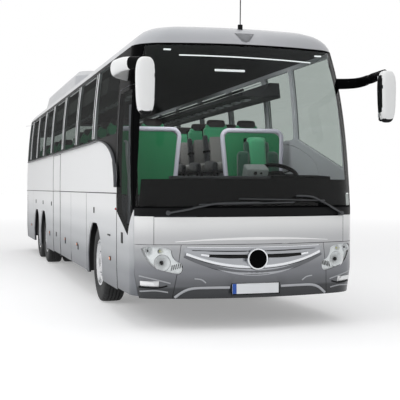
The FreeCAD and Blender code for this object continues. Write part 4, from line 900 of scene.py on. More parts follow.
@dataclass
class WheelSet:
    """Six wheel positions: treaded tyres, alloy rims, nuts and hub covers."""

    radius: float = 0.51
    width: float = 0.29
    plane: float = 1.07
    twin: float = 0.33
    steps: int = 120
    nuts: int = 10
    nut_ring: float = 0.1675
    axles: tuple = (("front", 2.77), ("drive", 9.11), ("tag", 10.46))

    def build(self) -> None:
        """Make every wheel."""
        for axle, s in self.axles:
            for side, name in ((1, "left"), (-1, "right")):
                self._tyres(axle, name, side, s)
                self._rim(axle, name, side, s)

    def _tread_profile(self) -> list:
        """Section of a tyre with four grooves, from bead to bead."""
        half, r = self.width / 2, self.radius
        profile = [(-0.116, 0.289), (-0.117, 0.306), (-0.133, 0.335), (-half, 0.385), (-half + 0.001, 0.425),
                   (-half + 0.008, 0.462), (-half + 0.014, 0.482), (-half + 0.022, 0.494),
                   (-half + 0.034, 0.504)]
        for x in (-0.068, -0.024, 0.024, 0.068):
            profile += [(x - 0.007, r - abs(x) * 0.03), (x - 0.004, r - 0.016), (x + 0.004, r - 0.016),
                        (x + 0.007, r - abs(x) * 0.03)]
        profile += [(-x, z) for x, z in reversed(profile[:9])]
        return profile

    def _tyres(self, axle: str, name: str, side: int, s: float) -> None:
        """Make the tyre or twin tyres of a wheel.

        Args:
            axle: the axle's name.
            name: left or right.
            side: +1 or -1.
            s: the axle's station.
        """
        clay = Clay()
        offsets = (0.0, -self.twin) if axle == "drive" else (0.0,)
        for offset in offsets:
            centre = Vector((side * (self.plane + offset), station(s), self.radius))
            clay.turned(self._tread_profile(), centre, Vector((side, 0, 0)), self.steps)
            self._lugs(clay, centre)
        finish_mesh(f"tyre_{axle}_{name}_tread", clay.bm, [TYRE_RUBBER], f"wheel_{axle}_{name}", 40.0,
                    replaces=(f"tyre_{axle}_{name}",))

    def _lugs(self, clay: Clay, centre: Vector) -> None:
        """Notch the shoulders between blocks.

        Args:
            clay: the tyre's mesh.
            centre: the tyre's centre.
        """
        for vert in clay.bm.verts:
            x = abs(vert.co.x - centre.x)
            if x > self.width / 2 + 0.01:
                continue
            y, z = vert.co.y - centre.y, vert.co.z - centre.z
            r = math.hypot(y, z)
            if r > self.radius - 0.02 and x > 0.078:
                step = round(math.atan2(z, y) / (2 * math.pi) * self.steps)
                if step % 3 == 0:
                    shrink = (r - 0.011) / r
                    vert.co.y = centre.y + y * shrink
                    vert.co.z = centre.z + z * shrink

    def _rim(self, axle: str, name: str, side: int, s: float) -> None:
        """Make the rim's bright face, nuts and hub cover.

        Args:
            axle: the axle's name.
            name: left or right.
            side: +1 or -1.
            s: the axle's station.
        """
        clay = Clay()
        clay.bm.from_mesh(frame["nodes"][f"rim_{axle}_{name}"].data)
        bmesh.ops.remove_doubles(clay.bm, verts=clay.bm.verts, dist=1e-5)
        finish_mesh(f"rim_{axle}_{name}_alloy", clay.bm, [ALLOY], f"wheel_{axle}_{name}", 28.0,
                    replaces=(f"rim_{axle}_{name}",))
        clay = Clay()
        centre = Vector((side * self.plane, station(s), self.radius))
        if axle == "front":
            profile = [(0.070, 0.188), (0.086, 0.182), (0.096, 0.150), (0.104, 0.118), (0.122, 0.108),
                       (0.128, 0.092), (0.129, 0.060), (0.131, 0.056), (0.131, 0.0)]
        else:
            profile = [(0.080, 0.128), (0.120, 0.120), (0.131, 0.098), (0.1315, 0.0)]
        out = Vector((side, 0, 0))
        clay.turned(profile, centre, out, 60)
        face_x = 0.083 if axle == "front" else -0.026
        for i in range(self.nuts):
            angle = 2 * math.pi * (i + 0.5) / self.nuts
            y, z = self.nut_ring * math.cos(angle), self.nut_ring * math.sin(angle)
            nut = centre + Vector((side * face_x, y, z))
            clay.peg(nut, out, 0.019, 0.032, 6, 1, 0.9)
            clay.peg(nut + out * 0.004, out, 0.010, 0.05, 8, 1, 0.9)
        finish_mesh(f"hub_cover_{axle}_{name}", clay.bm, [DISC_ALLOY, STEEL_NUT],
                    f"wheel_{axle}_{name}", 30.0)


@dataclass
class Seat:
    """One passenger seat: cushion, waisted back with a green shoulder and a hide headrest."""

    width: float = 0.44

    def build(self, clay: Clay, x: float, s: float, floor: float) -> None:
        """Add the seat.

        Args:
            clay: the mesh to add to.
            x: its middle across.
            s: the station of its cushion's front.
            floor: the floor's height.
        """
        base = Vector((x, station(s), floor))
        w = self.width
        # Pads: width, depth, height; shift; lean; rounding; crown; finish; cuts.
        middle = (((w * 0.62, 0.43, 0.10), (0, 0.235, 0.40), 3, 0.03, 0.16, 1, 2),
                  ((w * 0.60, 0.075, 0.38), (0, 0.49, 0.63), -16, 0.028, 0.05, 1, 2),
                  ((w * 0.90, 0.085, 0.20), (0, 0.560, 0.840), -14, 0.040, 0.06, 0, 2),
                  ((w * 0.76, 0.085, 0.12), (0, 0.585, 0.925), -13, 0.040, 0.06, 0, 2),
                  ((w * 0.62, 0.100, 0.13), (0, 0.600, 0.985), -12, 0.040, 0.05, 3, 2),
                  ((w * 0.86, 0.03, 0.56), (0, 0.590, 0.68), -15, 0.012, 0.02, 4, 1))
        for size, shift, lean, *form in middle:
            clay.pillow(size, tilted(base, shift, lean), *form)
        for side in (-1, 1):
            edge, post = side * w * 0.40, side * 0.15
            clay.pillow((w * 0.17, 0.44, 0.12), tilted(base, (edge, 0.24, 0.405), 3), 0.03, 0.10, 2, 1)
            clay.pillow((w * 0.16, 0.09, 0.40), tilted(base, (edge, 0.48, 0.63), -16), 0.03, 0.04, 2, 1)
            clay.pillow((w * 0.07, 0.095, 0.20),
                        tilted(base, (side * w * 0.20, 0.545, 0.735), -15, roll=side * 24), 0.012, 0.0, 2, 1)
            clay.bar([base + Vector((post, y, z)) for y, z in ((0.16, 0.0), (0.19, 0.33))], 0.018, 8, index=4)
            rest = ((0.44, 0.60), (0.30, 0.61), (0.17, 0.60))
            clay.bar([base + Vector((side * w * 0.5, y, z)) for y, z in rest], 0.014, 8, 1.3, index=4)


@dataclass
class Cabin:
    """Seats, partitions, driver's place, lights and lining."""

    deck: float = 1.38
    platform: float = 1.02
    pitch: float = 0.80
    start: float = 2.35
    rows: int = 12
    aisle: float = 0.23
    width: float = 0.44
    joint: float = 0.005
    door_s: tuple = (6.43, 7.39)

    def build(self) -> None:
        """Make everything inside."""
        self._seats()
        self._driver()
        self._partitions()
        self._steering()
        self._ceiling()
        self._screen_header()

    def _seats(self) -> None:
        """Lay out the rows, leaving out the places at the middle door."""
        one = Clay()
        Seat(self.width).build(one, 0.0, -FRONT_Y, 0.0)
        mesh = bpy.data.meshes.new("seat_form")
        one.bm.to_mesh(mesh)
        one.bm.free()
        for side, name in ((-1, "right"), (1, "left")):
            clay = Clay()
            for row in range(self.rows):
                s = self.start + row * self.pitch
                if side < 0 and self.door_s[0] - self.pitch < s < self.door_s[1]:
                    continue
                for seat in (0, 1):
                    x = side * (self.aisle + seat * (self.width + self.joint) + self.width / 2)
                    clay.copy(mesh, Matrix.Translation((x, station(s), self.deck)))
            piece = finish_mesh(f"seats_{name}", clay.bm,
                                [PLUSH_GREEN, PLUSH_GREY, PLUSH_DARK, HIDE, DARK_PLASTIC], angle=50.0,
                                replaces=("passenger_seats",) if side > 0 else ())
        bpy.data.meshes.remove(mesh)

    def _driver(self) -> None:
        """Driver's seat: waisted back with a green middle, dark wings and a grey lumbar pad."""
        clay = Clay()
        base = Vector((0.66, station(1.33), self.platform))
        # Pads: width, depth, height; shift; lean; yaw; rounding; crown; finish; cuts.
        pads = [((0.34, 0.46, 0.11), (0, 0.25, 0.43), 3, 0, 0.035, 0.15, 1, 3),
                ((0.23, 0.10, 0.56), (0, 0.485, 0.80), -10, 0, 0.040, 0.06, 0, 3),
                ((0.21, 0.05, 0.17), (0, 0.42, 0.60), -10, 0, 0.024, 0.08, 1, 2),
                ((0.35, 0.08, 0.40), (0, 0.520, 0.86), -10, 0, 0.038, 0.05, 2, 2),
                ((0.26, 0.085, 0.16), (0, 0.545, 1.03), -8, 0, 0.035, 0.06, 0, 2),
                ((0.31, 0.03, 0.62), (0, 0.555, 0.80), -10, 0, 0.014, 0.02, 4, 1),
                ((0.36, 0.36, 0.30), (0, 0.28, 0.16), 0, 0, 0.04, 0.0, 4, 1)]
        for side in (-1, 1):
            pads += [((0.11, 0.48, 0.13), (side * 0.20, 0.25, 0.44), 3, 0, 0.035, 0.10, 2, 2),
                     ((0.16, 0.12, 0.40), (side * 0.20, 0.47, 0.72), -10, side * 14, 0.04, 0.05, 2, 2)]
        for size, shift, lean, yaw, *form in pads:
            clay.pillow(size, tilted(base, shift, lean, yaw), *form)
        piece = finish_mesh("driver_place_seat", clay.bm,
                            [PLUSH_GREEN, PLUSH_GREY, PLUSH_DEEP, HIDE, DARK_PLASTIC],
                            angle=50.0, replaces=("driver_seat",))

    def _partitions(self) -> None:
        """Rounded lilac frames with green panels, and the pole beside the front steps."""
        clay = Clay()
        y, low, high, corner = station(2.105), self.deck + 0.06, 2.235, 0.09
        for side, inner, outer in ((-1, 0.30, 1.09), (1, 0.28, 1.09)):
            outline = []
            for cx, cz, start in ((inner + corner, high - corner, 180), (outer - corner, high - corner, 90)):
                for k in range(7):
                    a = math.radians(start - 15 * k)
                    outline.append((side * (cx + corner * math.cos(a)), y, cz + corner * math.sin(a)))
            outline = [(side * (inner + 0.07), y, low), *outline, (side * (outer - 0.02), y, low)]
            clay.bar(outline, 0.032, 10, 0.8, up=BACK)
            inset = [(p[0] + (0.028 if p[0] < side * (inner + outer) / 2 else -0.028), y - 0.012, p[2] - 0.03)
                     for p in outline]
            clay.slab(inset, Vector((0, 0.024, 0)), 1)
        clay.bar([(-1.13, station(1.25), self.platform), (-1.10, station(1.25), 2.45)], 0.017, 10)
        finish_mesh("partition_frames", clay.bm, [LAVENDER, PANEL_GREEN], angle=45.0,
                    replaces=("partitions",))

    def _steering(self) -> None:
        """Instrument housing, dash edge, gear switch panel and the steering wheel's rim."""
        clay = Clay()
        y0 = station(0.62)
        clay.pillow((0.27, 0.16, 0.17), Matrix.Translation((0.20, y0, 1.655)) @ Matrix.Rotation(0.4, 4, "X"),
                    0.02, 0.03, 1, 2)
        for dx, r in ((-0.05, 0.020), (0.02, 0.012)):
            clay.peg(Vector((0.22 + dx, y0 - 0.085, 1.655)), -BACK, r, 0.012, 20)
        clay.pillow((1.5, 0.10, 0.035), Matrix.Translation((-0.1, station(0.52), 1.605)), 0.012, 0.05, 2, 2)
        centre = Vector((0.66, station(1.09), 1.67))
        tilt = Matrix.Rotation(math.radians(28), 4, "X")

        def around(radius: float, angle: float, sink: float = 0.0) -> Vector:
            return centre + tilt @ Vector((radius * math.cos(angle), radius * math.sin(angle), sink))

        clay.bar([around(0.225, 2 * math.pi * i / 40) for i in range(40)], 0.017, 10, closed=True)
        for spoke in (20, 160, 270):
            a = math.radians(spoke)
            clay.bar([around(0.06, a, -0.02), around(0.21, a)], 0.016, 8, 0.5)
        boss = Matrix.Translation(centre + Vector((0, 0.01, -0.02))) @ tilt
        clay.pillow((0.16, 0.13, 0.05), boss, 0.02, 0.1, 0, 2)
        finish_mesh("steering_and_switches", clay.bm, [DARK_PLASTIC, HOUSING, CEILING], angle=40.0)

    def _ceiling(self) -> None:
        """Service sets under the racks, and the racks' edge rails."""
        clay = Clay()
        first, last, sets, spacing = 2.4, 12.4, 24, 0.4
        for side in (-1, 1):
            for k in range(sets):
                place = (side * 0.80, station(2.7 + spacing * k), 2.692)
                clay.pillow((0.10, 0.20, 0.02), Matrix.Translation(place), 0.008, 0.1, 0, 1)
            for x, z, radius, index in ((0.655, 2.755, 0.012, 1), (0.66, 2.80, 0.018, 2)):
                clay.bar([(side * x, station(s), z) for s in (first, last)], radius, 8, index=index)
        finish_mesh("rack_service_sets", clay.bm, [LINING, SATIN_CHROME, SATIN_BLACK], angle=40.0)

    def _screen_header(self) -> None:
        """Lit strip, interior display and marker lamps above the windscreen."""
        clay = Clay()
        skin = Skin(["windscreen"])
        strip = [skin.front(-0.74 + 1.56 * i / 24, 2.950 - 0.025 * i / 24, -0.06) for i in range(25)]
        clay.bar(strip, 0.007, 8)

        def plate(middle: Vector, half_x: float, half_z: float, depth: float) -> None:
            corners = ((-half_x, -half_z), (half_x, -half_z), (half_x, half_z), (-half_x, half_z))
            clay.slab([middle + Vector((x, 0, z)) for x, z in corners], BACK * depth)

        plate(Vector((0.01, station(0.95), 2.85)), 0.18, 0.012, 0.02)
        for x in (-0.86, 0.93):
            plate(skin.front(x, 3.005, -0.04), 0.04, 0.008, 0.015)
        finish_mesh("header_lights", clay.bm, [WHITE_LED], angle=40.0)


@dataclass
class NoseTrim:
    """Grille bars, boss ring, chrome strips, lamps, plate and wiper blades on the nose."""

    boss_z: float = 0.745
    boss_r: float = 0.116

    def build(self) -> None:
        """Make every trim on the nose."""
        self.skin = Skin(["bumper", "grille", "front_flap", "front_mask", "cowl", "headlamps", "lamp_lenses",
                          "skirts", "front_door"])
        self._grille()
        self._strips()
        self._lamps()
        self._plate()
        self._wipers()

    def _smile(self, half: float, edge_z: float, low_z: float) -> list:
        """Points of a sagging bar across the nose.

        Args:
            half: half its length.
            edge_z: height of its ends.
            low_z: height of its middle.

        Returns:
            (x, z) points.
        """
        count, power = 28, 2.2
        shares = [-1 + 2 * i / count for i in range(count + 1)]
        return [(half * t, low_z + (edge_z - low_z) * abs(t) ** power) for t in shares]

    def _face(self, x: float, z: float, lift: float) -> Vector:
        """A point on the nose's smooth face, between the hood's foot and the bumper under the grille.

        Args:
            x: across.
            z: height.
            lift: distance in front of it.

        Returns:
            The point.
        """
        foot_z, top_z = 0.54, 0.93
        top, foot = self.skin.front(x, top_z), self.skin.front(x, foot_z)
        share = (z - foot_z) / (top_z - foot_z)
        return Vector((x, foot.y + (top.y - foot.y) * share - lift, z))

    def _grille(self) -> None:
        """Bright bars of the grille, near-black bars painted as the shade in the gaps between them, and the
        plain ring of its boss.
        """
        clay = Clay()
        # Finish 2 marks thin near-black bars of painted shade in the gaps between the bright bars.
        # Bars: half length, height of the ends and of the middle, radius, flatness, finish, lift.
        rows = ((0.75, 0.866, 0.852, 0.017, 0.35, 3, 0.004), (0.74, 0.876, 0.868, 0.004, 0.8, 0, 0.008),
                (0.70, 0.826, 0.806, 0.015, 0.35, 3, 0.004), (0.69, 0.842, 0.829, 0.003, 0.8, 2, 0.008),
                (0.75, 0.812, 0.690, 0.036, 0.30, 3, 0.002), (0.75, 0.806, 0.662, 0.014, 0.70, 0, 0.010),
                (0.76, 0.796, 0.641, 0.004, 0.8, 2, 0.010), (0.765, 0.790, 0.612, 0.026, 0.40, 1, 0.004),
                (0.77, 0.782, 0.582, 0.004, 0.8, 2, 0.008))
        for half, edge, low, radius, flat, index, lift in rows:
            points = [self._face(x, z, lift) for x, z in self._smile(half, edge, low)]
            clay.bar(points, radius, 10, flat, index=index, up=BACK)
        for side in (-1, 1):
            # Each slot is a near-black bar of painted shade.
            slot = spread(mirrored(side, ((0.09, 0.771), (0.32, 0.768), (0.52, 0.782))), 8)
            clay.bar([self._face(x, z, 0.012) for x, z in slot], 0.017, 8, 0.4, index=2, up=BACK, taper=0.6)
            end = mirrored(side, ((0.515, 0.783), (0.60, 0.797)))
            clay.bar([self._face(x, z, 0.012) for x, z in end], 0.012, 8, 0.5, up=BACK)
        centre = self._face(0.0, self.boss_z, 0.0)
        profile = [(0.0, self.boss_r), (0.038, self.boss_r), (0.046, self.boss_r - 0.006),
                   (0.043, self.boss_r - 0.018), (0.030, self.boss_r - 0.020)]
        clay.turned(profile, centre, -BACK, 64)
        clay.ball(centre + Vector((0, -0.030, 0)), self.boss_r - 0.018, 4, (1, 0.08, 1), 40)
        finish_mesh("grille_bars", clay.bm, [CHROME, GRILLE_GREY, GRILLE_GAP_SHADE, SATIN_CHROME, BAND_PAINT],
                    angle=40.0)

    def _strips(self) -> None:
        """Chrome strips low on the bumper, painted highlights along its creases, and the flap's crest with
        its painted highlight.
        """
        clay = Clay()
        # Strips: points of one side, lift, radius, flatness, finish.
        strips = ((((0.85, 0.346), (0.76, 0.412), (0.66, 0.444), (0.48, 0.449), (0.285, 0.448)),
                   0.006, 0.014, 0.5, 0),
                  (((0.66, 0.545), (0.59, 0.535), (0.54, 0.50)), 0.003, 0.007, 0.5, 0),
                  # These two strips are painted highlights along the bumper's corner creases.
                  (((1.205, 0.570), (1.06, 0.538), (0.90, 0.496)), 0.001, 0.007, 0.45, 1),
                  (((1.19, 0.405), (1.05, 0.418), (0.92, 0.400)), 0.001, 0.007, 0.45, 1))
        for side in (-1, 1):
            for points, lift, radius, flat, index in strips:
                line = self.skin.nose_run(spread(mirrored(side, points), 6), lift)
                clay.bar(line, radius, 8, flat, index=index, up=BACK)
        finish_mesh("bumper_strips", clay.bm, [SATIN_CHROME, EDGE_HIGHLIGHT_AND_SHADE], angle=40.0)
        # The crest's near-white is a painted highlight along the hood's crease.
        crest = Clay()
        for side in (-1, 1):
            ridge = mirrored(side, ((0.0, 0.960), (0.30, 0.957), (0.60, 0.946), (0.86, 0.930)))
            crest.bar(self.skin.nose_run(spread(ridge, 8)), 0.017, 10, 0.3, up=BACK, taper=0.15)
        finish_mesh("hood_crest", crest.bm, [CREST_HIGHLIGHT], "front_flap", angle=40.0)

    def _lamps(self) -> None:
        """Reflector rings, bulbs, daytime chevrons, fog lamps and the painted shade under them."""
        clay = Clay()
        for side in (-1, 1):
            for x, z, r, index in ((0.9856, 0.7077, 0.084, 0), (1.122, 0.8324, 0.040, 0),
                                   (1.0034, 0.8297, 0.027, 3)):
                self._reflector(clay, side * x, z, r, index)
            for k in range(6):
                p = self.skin.front(side * (0.90 - 0.022 * k), 0.63 + 0.006 * k, -0.012)
                clay.bar([p, p + Vector((side * -0.012, 0, 0.055))], 0.004, 6, index=2)
            fog = mirrored(side, ((1.035, 0.460), (1.190, 0.468), (1.195, 0.518), (1.075, 0.514)))
            clay.slab(self.skin.nose_run(fog, 0.002), BACK * -0.012, 0, 0.004)
            # A near-black bar under each fog lamp is painted shade in its recess.
            dark = spread(mirrored(side, ((0.93, 0.470), (1.03, 0.448), (1.20, 0.452))), 6)
            clay.bar(self.skin.nose_run(dark, 0.002), 0.008, 8, 0.5, index=2, up=BACK)
        finish_mesh("lamp_innards", clay.bm, [REFLECTOR, CHROME, SATIN_BLACK, YELLOW], angle=40.0)

    def _reflector(self, clay: Clay, x: float, z: float, radius: float, index: int) -> None:
        """A faceted bowl with its rim ring and bulb.

        Args:
            clay: the mesh to add to.
            x: across.
            z: height.
            radius: the bowl's radius.
            index: material index of its bulb.
        """
        mouth = self.skin.front(x, z, -0.016)
        profile = [(-0.004, radius), (0.0, radius * 0.97), (0.006, radius * 0.88), (0.030, radius * 0.66),
                   (0.050, radius * 0.36), (0.056, radius * 0.22)]
        clay.turned(profile, Vector((x, mouth.y, z)), BACK, 36)
        clay.ball(Vector((x, mouth.y + 0.03, z)), radius * 0.26, index if index else 2)

    def _plate(self) -> None:
        """Blank number plate with a plain blue band, in a dark holder."""
        clay = Clay()
        y = self.skin.front(0.0, 0.40, 0.0).y - 0.012
        for size, x, lift, radius, index in (((0.545, 0.014, 0.130), 0, 0.0, 0.006, 2),
                                             ((0.520, 0.010, 0.108), 0, 0.006, 0.004, 0),
                                             ((0.045, 0.006, 0.106), -0.236, 0.0092, 0.002, 1)):
            clay.pillow(size, Matrix.Translation((x, y - lift, 0.430)), radius, 0.0, index, 1)
        finish_mesh("number_plate", clay.bm, [PLATE_WHITE, PLATE_BLUE, SATIN_BLACK], angle=40.0)

    def _wipers(self) -> None:
        """Wiper arms and blades that follow the windscreen's curve."""
        clay = Clay()
        skin = Skin(["windscreen", "cowl"])
        sets = (((-0.93, 1.232), (-0.60, 1.292), (-0.42, 1.322), (0.02, 1.330)),
                ((1.02, 1.215), (0.74, 1.345), (0.62, 1.392), (0.44, 1.400)))
        blades = (((-0.62, 1.315), (0.42, 1.335)), ((0.80, 1.352), (-0.20, 1.372)))
        for arm, blade in zip(sets, blades):
            clay.bar(skin.nose_run(spread(arm, 6), 0.045), 0.013, 10, 0.7)
            clay.bar([skin.front(*arm[0], 0.0), skin.front(*arm[0], 0.05)], 0.024, 14)
            clay.bar(skin.nose_run(spread(blade, 18), 0.016), 0.009, 8, index=1)
            clay.bar(skin.nose_run(spread(blade, 18), 0.034), 0.010, 8, 0.6)
        finish_mesh("wiper_sets", clay.bm, [WIPER_GREY, SEAL_RUBBER], angle=40.0, replaces=("wipers",))


@dataclass
class FlankTrim:
    """Mouldings, marker lamps, latches, grilles and service panels along the sides."""

    marker_s: tuple = (1.61, 4.37, 5.73, 8.0, 11.6)
    marker_z: float = 0.655
    trim_z: float = 1.432
    pillars: tuple = (2.97, 4.61, 6.25, 7.89, 9.26, 10.63, 12.00)

    def build(self) -> None:
        """Make the trims of both sides."""
        self.skin = Skin(["skirts", "side_panels", "window_bands", "glazing", "flap_left_front",
                          "flap_left_middle", "flap_left_rear", "flap_right_front", "flap_right_rear",
                          "mid_door", "front_door", "front_door_glass", "roof"])
        self._moulding()
        self._arches()
        self._markers()
        self._latches()
        self._door_trim()

    def _moulding(self) -> None:
        """The grey moulding up the shoulder and along the belt, the trim line, pillar strips and seams."""
        clay = Clay()
        for side in (-1, 1):
            rise = [(1.19, 1.50), (1.22, 1.66), (1.36, 1.85), (1.63, 1.965), (2.0, 2.045), (2.5, 2.093),
                    (3.2, 2.088)]
            path = spread(rise, 8) + spread([(3.2, 2.088), (12.5, 2.088)], 30)[1:]
            clay.bar(self.skin.flank_run(side, path, 0.004), 0.032, 8, 0.2)
            runs = [(1.25, 12.75)] if side > 0 else [(1.25, 6.405), (7.395, 12.75)]
            for first, last in runs:
                trim = spread([(first, self.trim_z), (last, self.trim_z)], 24)
                clay.bar(self.skin.flank_run(side, trim, 0.002), 0.008, 6, 0.6, index=1)
            # Pale strips at each pillar and over each window are painted reflections of the window pillars.
            for s in self.pillars:
                for shift, width in ((-0.085, 0.026), (0.055, 0.017)):
                    edge = spread([(s + shift, 2.14), (s + shift, 3.01)], 10)
                    clay.bar(self.skin.flank_run(side, edge, 0.001), width, 8, 0.25, index=2, up=ACROSS)
                head = spread([(s + 0.16, 2.985), (s + 1.06, 2.985)], 6)
                clay.bar(self.skin.flank_run(side, head, 0.001), 0.010, 6, 0.4, index=2)
            seams = [(3.452, 0.34, 1.42, 0.003), (5.04, 0.34, 1.42, 0.003), (1.20, 0.34, 1.42, 0.005)]
            if side < 0:
                seams += [(6.385, 0.34, 2.07, 0.007), (7.405, 0.34, 2.07, 0.007)]
            for s, low, high, width in seams:
                seam = spread([(s, low), (s, high)], 10)
                clay.bar(self.skin.flank_run(side, seam), width, 6, 0.6, index=1, up=ACROSS)
        finish_mesh("belt_moulding", clay.bm, [BELT_GREY, SEAL_RUBBER, PILLAR_REFLECTION], angle=40.0)

    def _arches(self) -> None:
        """Round lips that fill the corners of each wheel opening down to a circle about the wheel."""
        clay = Clay()
        reach, top, wheel_z, inner, sill, depth, steps = 0.6205, 1.0355, 0.51, 0.552, 0.336, 0.014, 40
        for side in (-1, 1):
            for s in (2.77, 9.11, 10.46):
                pairs = [(1.0, sill, inner, reach)]
                for k in range(steps + 1):
                    c, d = math.cos(math.pi * k / steps), math.sin(math.pi * k / steps)
                    far = max(min(reach, (top - wheel_z) / max(d, 1e-6)), inner + 0.002)
                    pairs.append((c, wheel_z, inner, far, d))
                pairs.append((-1.0, sill, inner, reach))
                form = bmesh.new()
                rows = []
                for c, low, near, far, *lift in pairs:
                    rise = lift[0] if lift else 0.0
                    row = []
                    for r in (near, far):
                        z = low + r * rise
                        x = self.skin.flank(side, s + math.copysign(reach + 0.02, c), min(z, 1.02), -0.001).x
                        row.append(form.verts.new((x, station(s + r * c), z)))
                    rows.append(row)
                for first, second in zip(rows, rows[1:]):
                    form.faces.new((first[0], first[1], second[1], second[0]))
                thicken(form, form.faces[:], ACROSS * -side * depth)
                clay.add(form)
        finish_mesh("arch_lips", clay.bm, [SIDE_PAINT], angle=30.0)

    def _markers(self) -> None:
        """Amber side markers on grey bezels, each on the panel under it."""
        clays = {}
        for side in (-1, 1):
            for s in self.marker_s:
                clay = clays.setdefault(panel_at(side, s, self.marker_z), Clay())
                place = Matrix.Translation(self.skin.flank(side, s, self.marker_z))
                clay.pillow((0.016, 0.100, 0.050), place, 0.005, 0.0, 1, 1)
                clay.pillow((0.026, 0.084, 0.038), place, 0.006, 0.0, 0, 1)
        for body, clay in clays.items():
            finish_mesh(f"side_markers_{body}", clay.bm, [AMBER, SATIN_BLACK], body, angle=40.0)

    def _latches(self) -> None:
        """Black latches, recessed handles and the red release, each on the panel under it."""
        clays = {}
        door_s = 6.94
        spots = ((2.79, 1.20), (7.69, 1.20), (9.15, 1.20), (10.59, 1.20), (4.25, 0.62), (5.70, 0.62),
                 (door_s, 0.67), (7.95, 0.63))
        places = [(side, s, z, (0.012, 0.05, 0.075)) for side in (-1, 1) for s, z in spots
                  if side < 0 or s != door_s]
        places += [(side, 1.68, 0.93, (0.012, 0.17, 0.018)) for side in (-1, 1)]
        places += [(-1, 0.87, 0.94, (0.010, 0.085, 0.12))]
        places += [(side, 12.66, 0.36 + 0.045 * k, (0.008, 0.11, 0.016))
                   for side in (-1, 1) for k in range(22)]
        for side, s, z, size in places:
            clay = clays.setdefault(panel_at(side, s, z), Clay())
            clay.pillow(size, Matrix.Translation(self.skin.flank(side, s, z, 0.002)), 0.003, 0.0, 0, 1)
        clays["coach"].ball(self.skin.flank(-1, 1.23, 1.25, 0.004), 0.013, 1, parts=14)
        for body, clay in clays.items():
            finish_mesh(f"latches_{body}", clay.bm, [SATIN_BLACK, RED_LENS], body, angle=40.0)

    def _door_trim(self) -> None:
        """Slanted silver grab rail behind the front door's glass, and the trim line on the middle door."""
        clay = Clay()
        line = spread([(6.445, self.trim_z), (7.355, self.trim_z)], 6)
        clay.bar(self.skin.flank_run(-1, line, 0.002), 0.008, 6, 0.6)
        finish_mesh("mid_door_line", clay.bm, [SEAL_RUBBER], "mid_door", angle=40.0)
        clay = Clay()
        run = [(0.66, 1.12), (0.72, 1.30), (0.90, 1.62), (1.04, 1.86), (1.08, 2.02)]
        inset = -0.085
        clay.bar(self.skin.flank_run(-1, spread(run, 6), inset), 0.016, 12)
        for inner in self.skin.flank_run(-1, (run[0], run[-1]), inset):
            clay.bar([inner, inner + ACROSS * -0.030], 0.014, 12)
        finish_mesh("door_grab_rail", clay.bm, [SATIN_CHROME], "front_door", angle=40.0)


@dataclass
class RoofKit:
    """Whip aerial, dark roof patches and the bare recess over the windscreen."""

    aerial_s: float = 0.56
    patch: tuple = ((5.12, 0.55), (5.72, 0.55), (5.72, 0.88), (5.12, 0.88))

    def build(self) -> None:
        """Make the roof's fittings."""
        clay = Clay()
        skin = Skin(["roof", "roof_pod"])
        foot = skin.roof(0.0, self.aerial_s, 3.25)
        clay.bar([foot + UP * rise for rise in (-0.01, 0.03, 0.05)], 0.028, 14)
        clay.bar([foot + Vector((0, 0, 0.04)), foot + Vector((0, -0.01, 0.33))], 0.006, 8)
        for side in (-1, 1):
            clay.slab([skin.roof(side * x, s, 3.35) + UP * 0.012 for s, x in self.patch], UP * -0.008)
        # The grey rim drawn round the recess is painted shade along its edge.
        for grow, lift, index in ((0.012, 0.0025, 1), (0.0, 0.0040, 2)):
            self._recess(clay, skin, grow, lift, index)
        finish_mesh("roof_fittings", clay.bm, [SATIN_BLACK, EDGE_HIGHLIGHT_AND_SHADE, ROOF_PAINT], angle=40.0)

    def _recess(self, clay: Clay, skin: Skin, grow: float, lift: float, index: int) -> None:
        """A bare patch with a rounded foot that follows the skin over the windscreen.

        Args:
            clay: the mesh to add to.
            skin: what it lies on.
            grow: how far it reaches past its nominal edge.
            lift: distance outside the skin.
            index: material index.
        """
        top_z, height, half_top, narrowing, down, across, rounding = 3.185, 0.088, 0.100, 0.075, 8, 6, 0.4
        form = bmesh.new()
        rows = []
        for k in range(down + 1):
            z = top_z - (height + grow) * k / down
            half = (half_top - narrowing * k / down + grow) * (1.0 if k < down else rounding)
            rows.append([form.verts.new(skin.front(half * (2 * i / across - 1), z, lift))
                         for i in range(across + 1)])
        for upper, lower in zip(rows, rows[1:]):
            for i in range(across):
                form.faces.new((upper[i], lower[i], lower[i + 1], upper[i + 1]))
        bmesh.ops.solidify(form, geom=form.faces[:], thickness=0.002)
        bmesh.ops.recalc_face_normals(form, faces=form.faces)
        clay.add(form, index)


